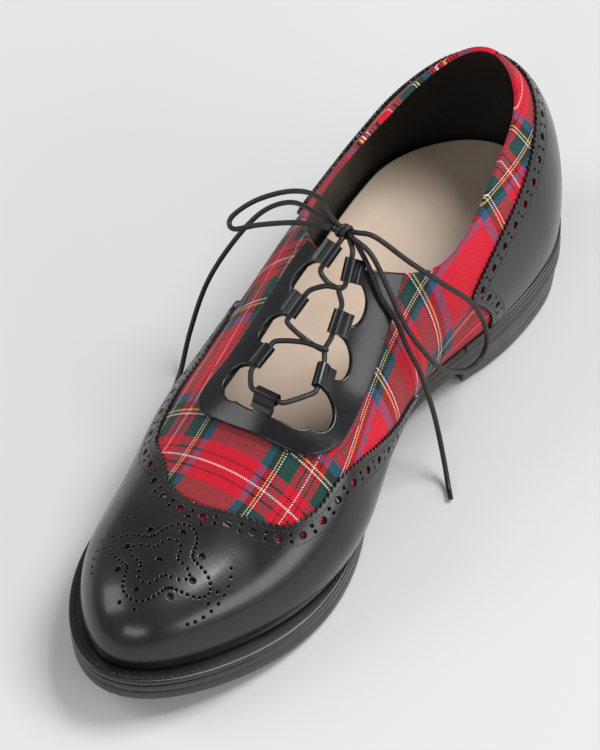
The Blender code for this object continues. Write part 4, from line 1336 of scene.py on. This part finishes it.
def rolled_loop(name, tail):
    centre, axis, normal = tunnel_frame(name)
    outwards = np.cross(axis, normal)
    if outwards.dot(LOOP_OUTWARDS[name.split("_")[0]]) < 0:
        outwards = -outwards
    outer, inner = loop_profile(tail)
    section = np.vstack([outer, inner[::-1]])
    middle_line = np.vstack([(outer + inner) / 2, ((outer + inner) / 2)[::-1]])
    rows = []
    for share, fat in LOOP_SWEEP:
        flat = middle_line + (section - middle_line) * fat
        rows.append(
            centre + axis * share * TUNNEL_LENGTH / 2
            - outwards * flat[:, :1] + normal * flat[:, 1:]
        )
    count = len(section)
    faces = ring_faces(len(rows), count)
    half = count // 2
    for base in (0, (len(rows) - 1) * count):
        for j in range(half - 1):
            faces.append((base + j, base + j + 1, base + count - 2 - j, base + count - 1 - j))
    thing = make_mesh(f"rolled_loop_{name}", np.vstack(rows), faces, [FACING])
    mend(thing, MERGE, LOOP_CREASE)
    keep(thing, (f"lace_tunnel_{name}",))


for loop_name in TUNNELS:
    rolled_loop(loop_name, LOOP_TAIL)

# %% [markdown]
# The layers of the sole are swept around the outline of the last: a small section with rounded
# corners is carried along both sides, so the grooves between the layers are real.

# %% Layers of the sole
SOLE_MERGE, SOLE_CREASE = 3e-5, 40


def raised(plan, drop):
    drops = np.asarray(drop)[..., None] * np.ones(plan.shape[:-1])
    height = feather(LAST_LENGTH / 2 - plan[..., 1]) - drops
    return np.concatenate([plan, height[..., None]], -1)


def edge_section(thickness, soft):
    """Points of a layer's outer edge from its top to its underside: outwards and down."""
    turn = np.linspace(0, math.pi / 2, 5)
    top = [(-soft + soft * math.sin(t), soft - soft * math.cos(t)) for t in turn]
    low = [(-soft + soft * math.cos(t), thickness - soft + soft * math.sin(t)) for t in turn]
    return np.array(top + low)


def sole_layer(name, offset, drop, thickness, soft, materials):
    places = stations(0, LAST_LENGTH, 220)
    section = edge_section(thickness, soft)
    across = np.linspace(-1, 1, 9)[1:-1]
    sides = []
    for side in (-1.0, 1.0):
        outer = offset(places, side)
        plans = [outline(places, side, outer + out) for out, _ in section]
        drops = [np.array(drop + down) for _, down in section]
        sides.append(np.stack([raised(plan, low) for plan, low in zip(plans, drops)], 1))
    left, right = sides
    top = left[:, :1] + (right[:, :1] - left[:, :1]) * ((across + 1) / 2)[None, :, None]
    low = left[:, -1:] + (right[:, -1:] - left[:, -1:]) * ((across + 1) / 2)[None, :, None]
    ring = np.concatenate([left[:, ::-1], top, right, low[:, ::-1]], 1)
    thing = make_mesh(name, ring.reshape(-1, 3), ring_faces(*ring.shape[:2]), materials)
    mend(thing, SOLE_MERGE, SOLE_CREASE, True)
    return thing


def inner_offset(places, side):
    return np.full(len(places), -(UPPER_WALL + INSOLE_CLEARANCE))


insole = sole_layer(
    "insole_sock", inner_offset, -(GAP + INSOLE_THICKNESS), INSOLE_THICKNESS, 0.9 * MM, [SOCK]
)
keep(insole, ("insole",))
midsole_drop = WELT_THICKNESS + GAP
middle_layer = sole_layer(
    "middle_sole", welt_offset, midsole_drop, MIDSOLE_THICKNESS, 0.5 * MM, [SOLE]
)
keep(middle_layer, ("midsole",))
outsole_drop = midsole_drop + MIDSOLE_THICKNESS + GAP
bottom_layer = sole_layer(
    "leather_outsole", welt_offset, outsole_drop, OUTSOLE_THICKNESS, 0.7 * MM, [SOLE]
)
keep(bottom_layer, ("outsole",))

# %% [markdown]
# The welt is a strip around the forepart and the rand is its counterpart around the seat. They meet
# at the heel's breast, so one function makes both from the same section.

# %% Welt and rand
def rim(name, toe, soft):
    section = edge_section(WELT_THICKNESS, soft)
    parts = []
    for side, breast in ((-1.0, BREAST_LATERAL), (1.0, BREAST_MEDIAL)):
        start = breast * LAST_LENGTH
        places = stations(start + GAP, LAST_LENGTH, 140) if toe else stations(start - GAP, 0, 70)
        outer = welt_offset(places, side)
        lines = [raised(outline(places, side, outer + out), np.array(down)) for out, down in section]
        inner = outline(places, side, np.full(len(places), -WELT_INSIDE))
        lines += [raised(inner, np.array(WELT_THICKNESS)), raised(inner, np.array(0.0))]
        parts.append(np.stack(lines, 1))
    ring = np.vstack([parts[0], parts[1][::-1]])
    rows, count = ring.shape[:2]
    faces = end_faces(rows, count) + ring_faces(rows, count)
    thing = make_mesh(name, ring.reshape(-1, 3), faces, [WELT])
    mend(thing, SOLE_MERGE, SOLE_CREASE, True)
    return thing


keep(rim("stitched_welt", True, 0.9 * MM), ("welt",))
keep(rim("seat_rand", False, 0.7 * MM), ("heel_rand",))

# %% [markdown]
# A stacked heel is made of leather lifts, nailed and then trimmed together. The joints between the
# lifts stay visible as fine grooves, so the heel is a pile of loops that step in by a hair.

# %% Heel
LIFT_THICKNESS = 4.2 * MM
GROOVE = 0.16 * MM
HEEL_CREASE = 30
STACK_INSET = HEEL_TAPER * 0.7


def heel_loop(inset):
    """The closed outline of the heel, its hollow breast in front."""
    shares = np.linspace(0, 1, 60) ** 1.6
    sides = []
    for side, breast in ((-1.0, BREAST_LATERAL), (1.0, BREAST_MEDIAL)):
        at = shares * breast * LAST_LENGTH
        sides.append(outline(at, side, welt_offset(at, side) - HEEL_SETBACK - inset))
    left, right = sides
    across = np.linspace(-1, 1, 24)[1:-1]
    breast = left[-1] + (right[-1] - left[-1]) * ((across + 1) / 2)[:, None]
    breast[:, 1] += BREAST_HOLLOW * (1 - across**2)
    return np.vstack([left, breast, right[::-1][:-1]])


def heel_block(name, levels, node):
    """A block between levels of (height, or None for the sole's underside, and inset)."""
    loops = []
    for height, inset in levels:
        plan = heel_loop(inset)
        if height is None:
            loops.append(raised(plan, np.array(SOLE_THICKNESS + GAP)))
        else:
            loops.append(np.concatenate([plan, np.full((len(plan), 1), height)], 1))
    top = loops[0][:, 2]
    for loop in loops[1:]:
        loop[:, 2] = np.minimum(loop[:, 2], top)
    count = len(loops[0])
    faces = end_faces(len(loops), count) + ring_faces(len(loops), count)
    thing = make_mesh(name, np.vstack(loops), faces, [SOLE])
    mend(thing, MERGE, HEEL_CREASE)
    keep(thing, (node,))


def stack_levels():
    floor, ceiling = TOP_PIECE_THICKNESS + GAP, HEEL_HEIGHT - SOLE_THICKNESS - GAP
    levels = [(None, 0.0)]
    height = ceiling - LIFT_THICKNESS * 0.8
    while height > floor + 1.5 * MM:
        inset = STACK_INSET * (ceiling - height) / (ceiling - floor)
        levels += [(height + GROOVE, inset), (height, inset + GROOVE), (height - GROOVE, inset)]
        height -= LIFT_THICKNESS
    return levels + [(floor + 0.2 * MM, STACK_INSET), (floor, STACK_INSET + 0.2 * MM)]


heel_block("stacked_heel", stack_levels(), "heel_stack")
heel_block(
    "heel_lift",
    [
        (TOP_PIECE_THICKNESS, STACK_INSET + 0.2 * MM), (TOP_PIECE_THICKNESS - 0.2 * MM, STACK_INSET),
        (0.5 * MM, HEEL_TAPER), (0.0, HEEL_TAPER + 0.5 * MM),
    ],
    "heel_top_piece",
)

# %% [markdown]
# Stitches repeat hundreds of times along lines that are already known, so one node tree makes them
# all. It turns a line into a curve, sets points at the stitch length, and puts a small rounded
# stitch on each point, turned along the line.

# %% Stitch tree
def stitch_tree(material):
    tree = bpy.data.node_groups.new("stitch_row", "GeometryNodeTree")
    face = tree.interface
    face.new_socket("Geometry", in_out="INPUT", socket_type="NodeSocketGeometry")
    for name, value in (("Pitch", 2.5 * MM), ("Length", 1.7 * MM), ("Thread", 0.5 * MM)):
        socket = face.new_socket(name, in_out="INPUT", socket_type="NodeSocketFloat")
        socket.default_value = value
    face.new_socket("Geometry", in_out="OUTPUT", socket_type="NodeSocketGeometry")
    start, end = tree.nodes.new("NodeGroupInput"), tree.nodes.new("NodeGroupOutput")
    line = add(tree, "GeometryNodeMeshToCurve", Mesh=start.outputs["Geometry"])
    spaced = add(
        tree, "GeometryNodeResampleCurve", {"mode": "LENGTH"}, Curve=line.outputs[0],
        Length=start.outputs["Pitch"],
    )
    thread = start.outputs["Thread"]
    size = add(tree, "ShaderNodeCombineXYZ", X=thread, Y=thread, Z=start.outputs["Length"])
    ball = add(tree, "GeometryNodeMeshUVSphere", Segments=8, Rings=6, Radius=0.5)
    tangent = add(tree, "GeometryNodeInputTangent")
    turned = add(tree, "FunctionNodeAlignRotationToVector", {"axis": "Z"}, Vector=tangent.outputs[0])
    rows = add(
        tree, "GeometryNodeInstanceOnPoints", Points=spaced.outputs[0], Instance=ball.outputs["Mesh"],
        Rotation=turned.outputs[0], Scale=size.outputs[0],
    )
    real = add(tree, "GeometryNodeRealizeInstances", Geometry=rows.outputs[0])
    smooth = add(tree, "GeometryNodeSetShadeSmooth", Geometry=real.outputs[0])
    done = add(tree, "GeometryNodeSetMaterial", Geometry=smooth.outputs[0], Material=material)
    tree.links.new(done.outputs[0], end.inputs[0])
    return tree


STITCHES = stitch_tree(THREAD)


def stitch_rows(name, lines, slot, **sizes):
    points, edges = [], []
    for line in lines:
        first = len(points)
        points += [tuple(p) for p in line + SHIFT]
        edges += [(first + i, first + i + 1) for i in range(len(line) - 1)]
    mesh = bpy.data.meshes.new(name)
    mesh.from_pydata(points, edges, [])
    source = new_object(name, mesh, [])
    modifier = source.modifiers.new("stitches", "NODES")
    modifier.node_group = STITCHES
    for item in STITCHES.interface.items_tree:
        if item.in_out == "INPUT" and item.name in sizes:
            modifier[item.identifier] = sizes[item.name]
    bpy.context.view_layer.update()
    graph = bpy.context.evaluated_depsgraph_get()
    made = bpy.data.meshes.new_from_object(source.evaluated_get(graph))
    bpy.data.objects.remove(source, do_unlink=True)
    thing = new_object(name, made, [THREAD])
    keep(thing, ())


# %% [markdown]
# Two rows of stitches run along each overlay's edge, with the punching between them, and one row
# runs along the facing. The welt's stitches are longer and thicker.

# %% Stitch lines
def lifted_line(along, u, lift):
    place, normal = place_and_normal(along, u)
    return place + normal * lift


def girth_line(line, distance, lift, low_rise):
    row = offset_line(line, distance, 1.2 * MM)
    u = u_at_girth(row[:, 0], row[:, 1])
    placed = lifted_line(row[:, 0], u, lift)
    rise = placed[:, 2] - feather(row[:, 0]) - UPPER_SEAT
    good = (rise > low_rise) & (np.abs(u) < 0.995) & (collar_field(row[:, 0], rise) > 1.5 * MM)
    return runs(placed, good)


def rise_line(line, distance, lift, low_rise):
    row = offset_line(line, distance, 1.2 * MM)
    side = np.where(row[:, 0] < 0, -1.0, 1.0)
    u = u_at_rise(np.abs(row[:, 0]), side, row[:, 1])
    return runs(lifted_line(np.abs(row[:, 0]), u, lift), row[:, 1] > low_rise)


def runs(points, good):
    made, now = [], []
    for point, ok in zip(points, good):
        if ok:
            now.append(point)
        elif now:
            made.append(np.array(now))
            now = []
    if now:
        made.append(np.array(now))
    return [line for line in made if len(line) > 3]


OVERLAY_TOP, FACING_TOP = GAP + OVERLAY_WALL, GAP + EYESTAY_WALL
FINE_STITCH = {"Pitch": 1.5 * MM, "Length": 1.15 * MM, "Thread": 0.45 * MM}
stitch_rows(
    "wing_stitches",
    girth_line(WING, -2.6 * MM, OVERLAY_TOP, 2.5 * MM)
    + girth_line(WING, -7.6 * MM, OVERLAY_TOP, 2.5 * MM),
    "black_leather", **FINE_STITCH,
)
stitch_rows(
    "counter_stitches",
    rise_line(COUNTER, -2.4 * MM, OVERLAY_TOP, 3 * MM)
    + rise_line(COUNTER, -7.0 * MM, OVERLAY_TOP, 3 * MM),
    "black_leather", **FINE_STITCH,
)
stitch_rows(
    "facing_stitches", girth_line(STAY, -1.7 * MM, FACING_TOP, 0.0), "black_leather",
    Pitch=1.5 * MM, Length=1.15 * MM, Thread=0.42 * MM,
)


def welt_lines():
    made = []
    for side, breast in ((-1.0, BREAST_LATERAL), (1.0, BREAST_MEDIAL)):
        places = stations(breast * LAST_LENGTH + 2 * MM, LAST_LENGTH * 0.999, 160)
        offset = welt_offset(places, side)
        wide = offset > 2.4 * MM
        line = raised(outline(places, side, offset - 1.9 * MM), np.array(-0.05 * MM))
        made += runs(line, wide)
    return made


stitch_rows(
    "welt_stitches", welt_lines(), "sole_leather",
    Pitch=2.6 * MM, Length=2.1 * MM, Thread=0.75 * MM,
)

# %% [markdown]
# The scene around the shoe is kept plain: a pale floor with no texture, a bright even sky, and
# large soft lamps. The key lamp stands high behind the heel, and a long low one at the inner side
# puts a line of light along the polished edges.

# %% Floor and light
FLOOR_REACH = 6.0


def floor_material():
    material, tree, shader = new_tree("pale_floor")
    tone = noise(tree, object_place(tree), 3.0)
    plug(tree, shader, "Base Color", ramp(tree, tone, [(0.0, grey(0.63)), (1.0, grey(0.65))]))
    shader.inputs["Roughness"].default_value = 0.9
    return material


def add_floor():
    r = FLOOR_REACH
    mesh = bpy.data.meshes.new("floor")
    mesh.from_pydata([(-r, -r, 0), (r, -r, 0), (r, r, 0), (-r, r, 0)], [], [(0, 1, 2, 3)])
    thing = new_object("floor", mesh, [floor_material()])
    thing.location.z = CAD_BOX[0][2] - 0.2 * MM
    thing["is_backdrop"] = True


def add_lamp(name, place, target, size, power):
    data = bpy.data.lights.new(name, "AREA")
    data.shape = "RECTANGLE"
    data.size, data.size_y = size
    data.energy = power
    lamp = bpy.data.objects.new(name, data)
    lamp.location = place
    aim = Vector(target) - Vector(place)
    lamp.rotation_euler = aim.to_track_quat("-Z", "Y").to_euler()
    bpy.context.scene.collection.objects.link(lamp)


def add_world():
    world = bpy.data.worlds.new("studio")
    bpy.context.scene.world = world
    world.use_nodes = True
    background = world.node_tree.nodes["Background"]
    background.inputs["Color"].default_value = (0.93, 0.94, 0.96, 1)
    background.inputs["Strength"].default_value = 0.30


add_floor()
add_world()
add_lamp("key", (0.65, 0.85, 1.8), (0, 0, 0.03), (0.9, 0.9), 34)
add_lamp("fill", (-1.3, -0.6, 1.3), (0, 0, 0.03), (1.0, 1.0), 10)
add_lamp("front", (0.3, -1.7, 1.1), (0, 0, 0.03), (1.2, 0.5), 7)
add_lamp("side", (1.7, 0.1, 0.75), (0, 0, 0.04), (1.8, 0.6), 13)
bpy.context.scene.view_settings.view_transform = "Standard"
print("lamps: key, fill, front and side")

# %% [markdown]
# The size of the solids and of the finished pieces is gathered as the last value, so that they can be
# compared.

# %% Finish
def plain(box):
    return [[float(v) for v in corner] for corner in box]


{"cad": plain(CAD_BOX), "visual": plain(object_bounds())}
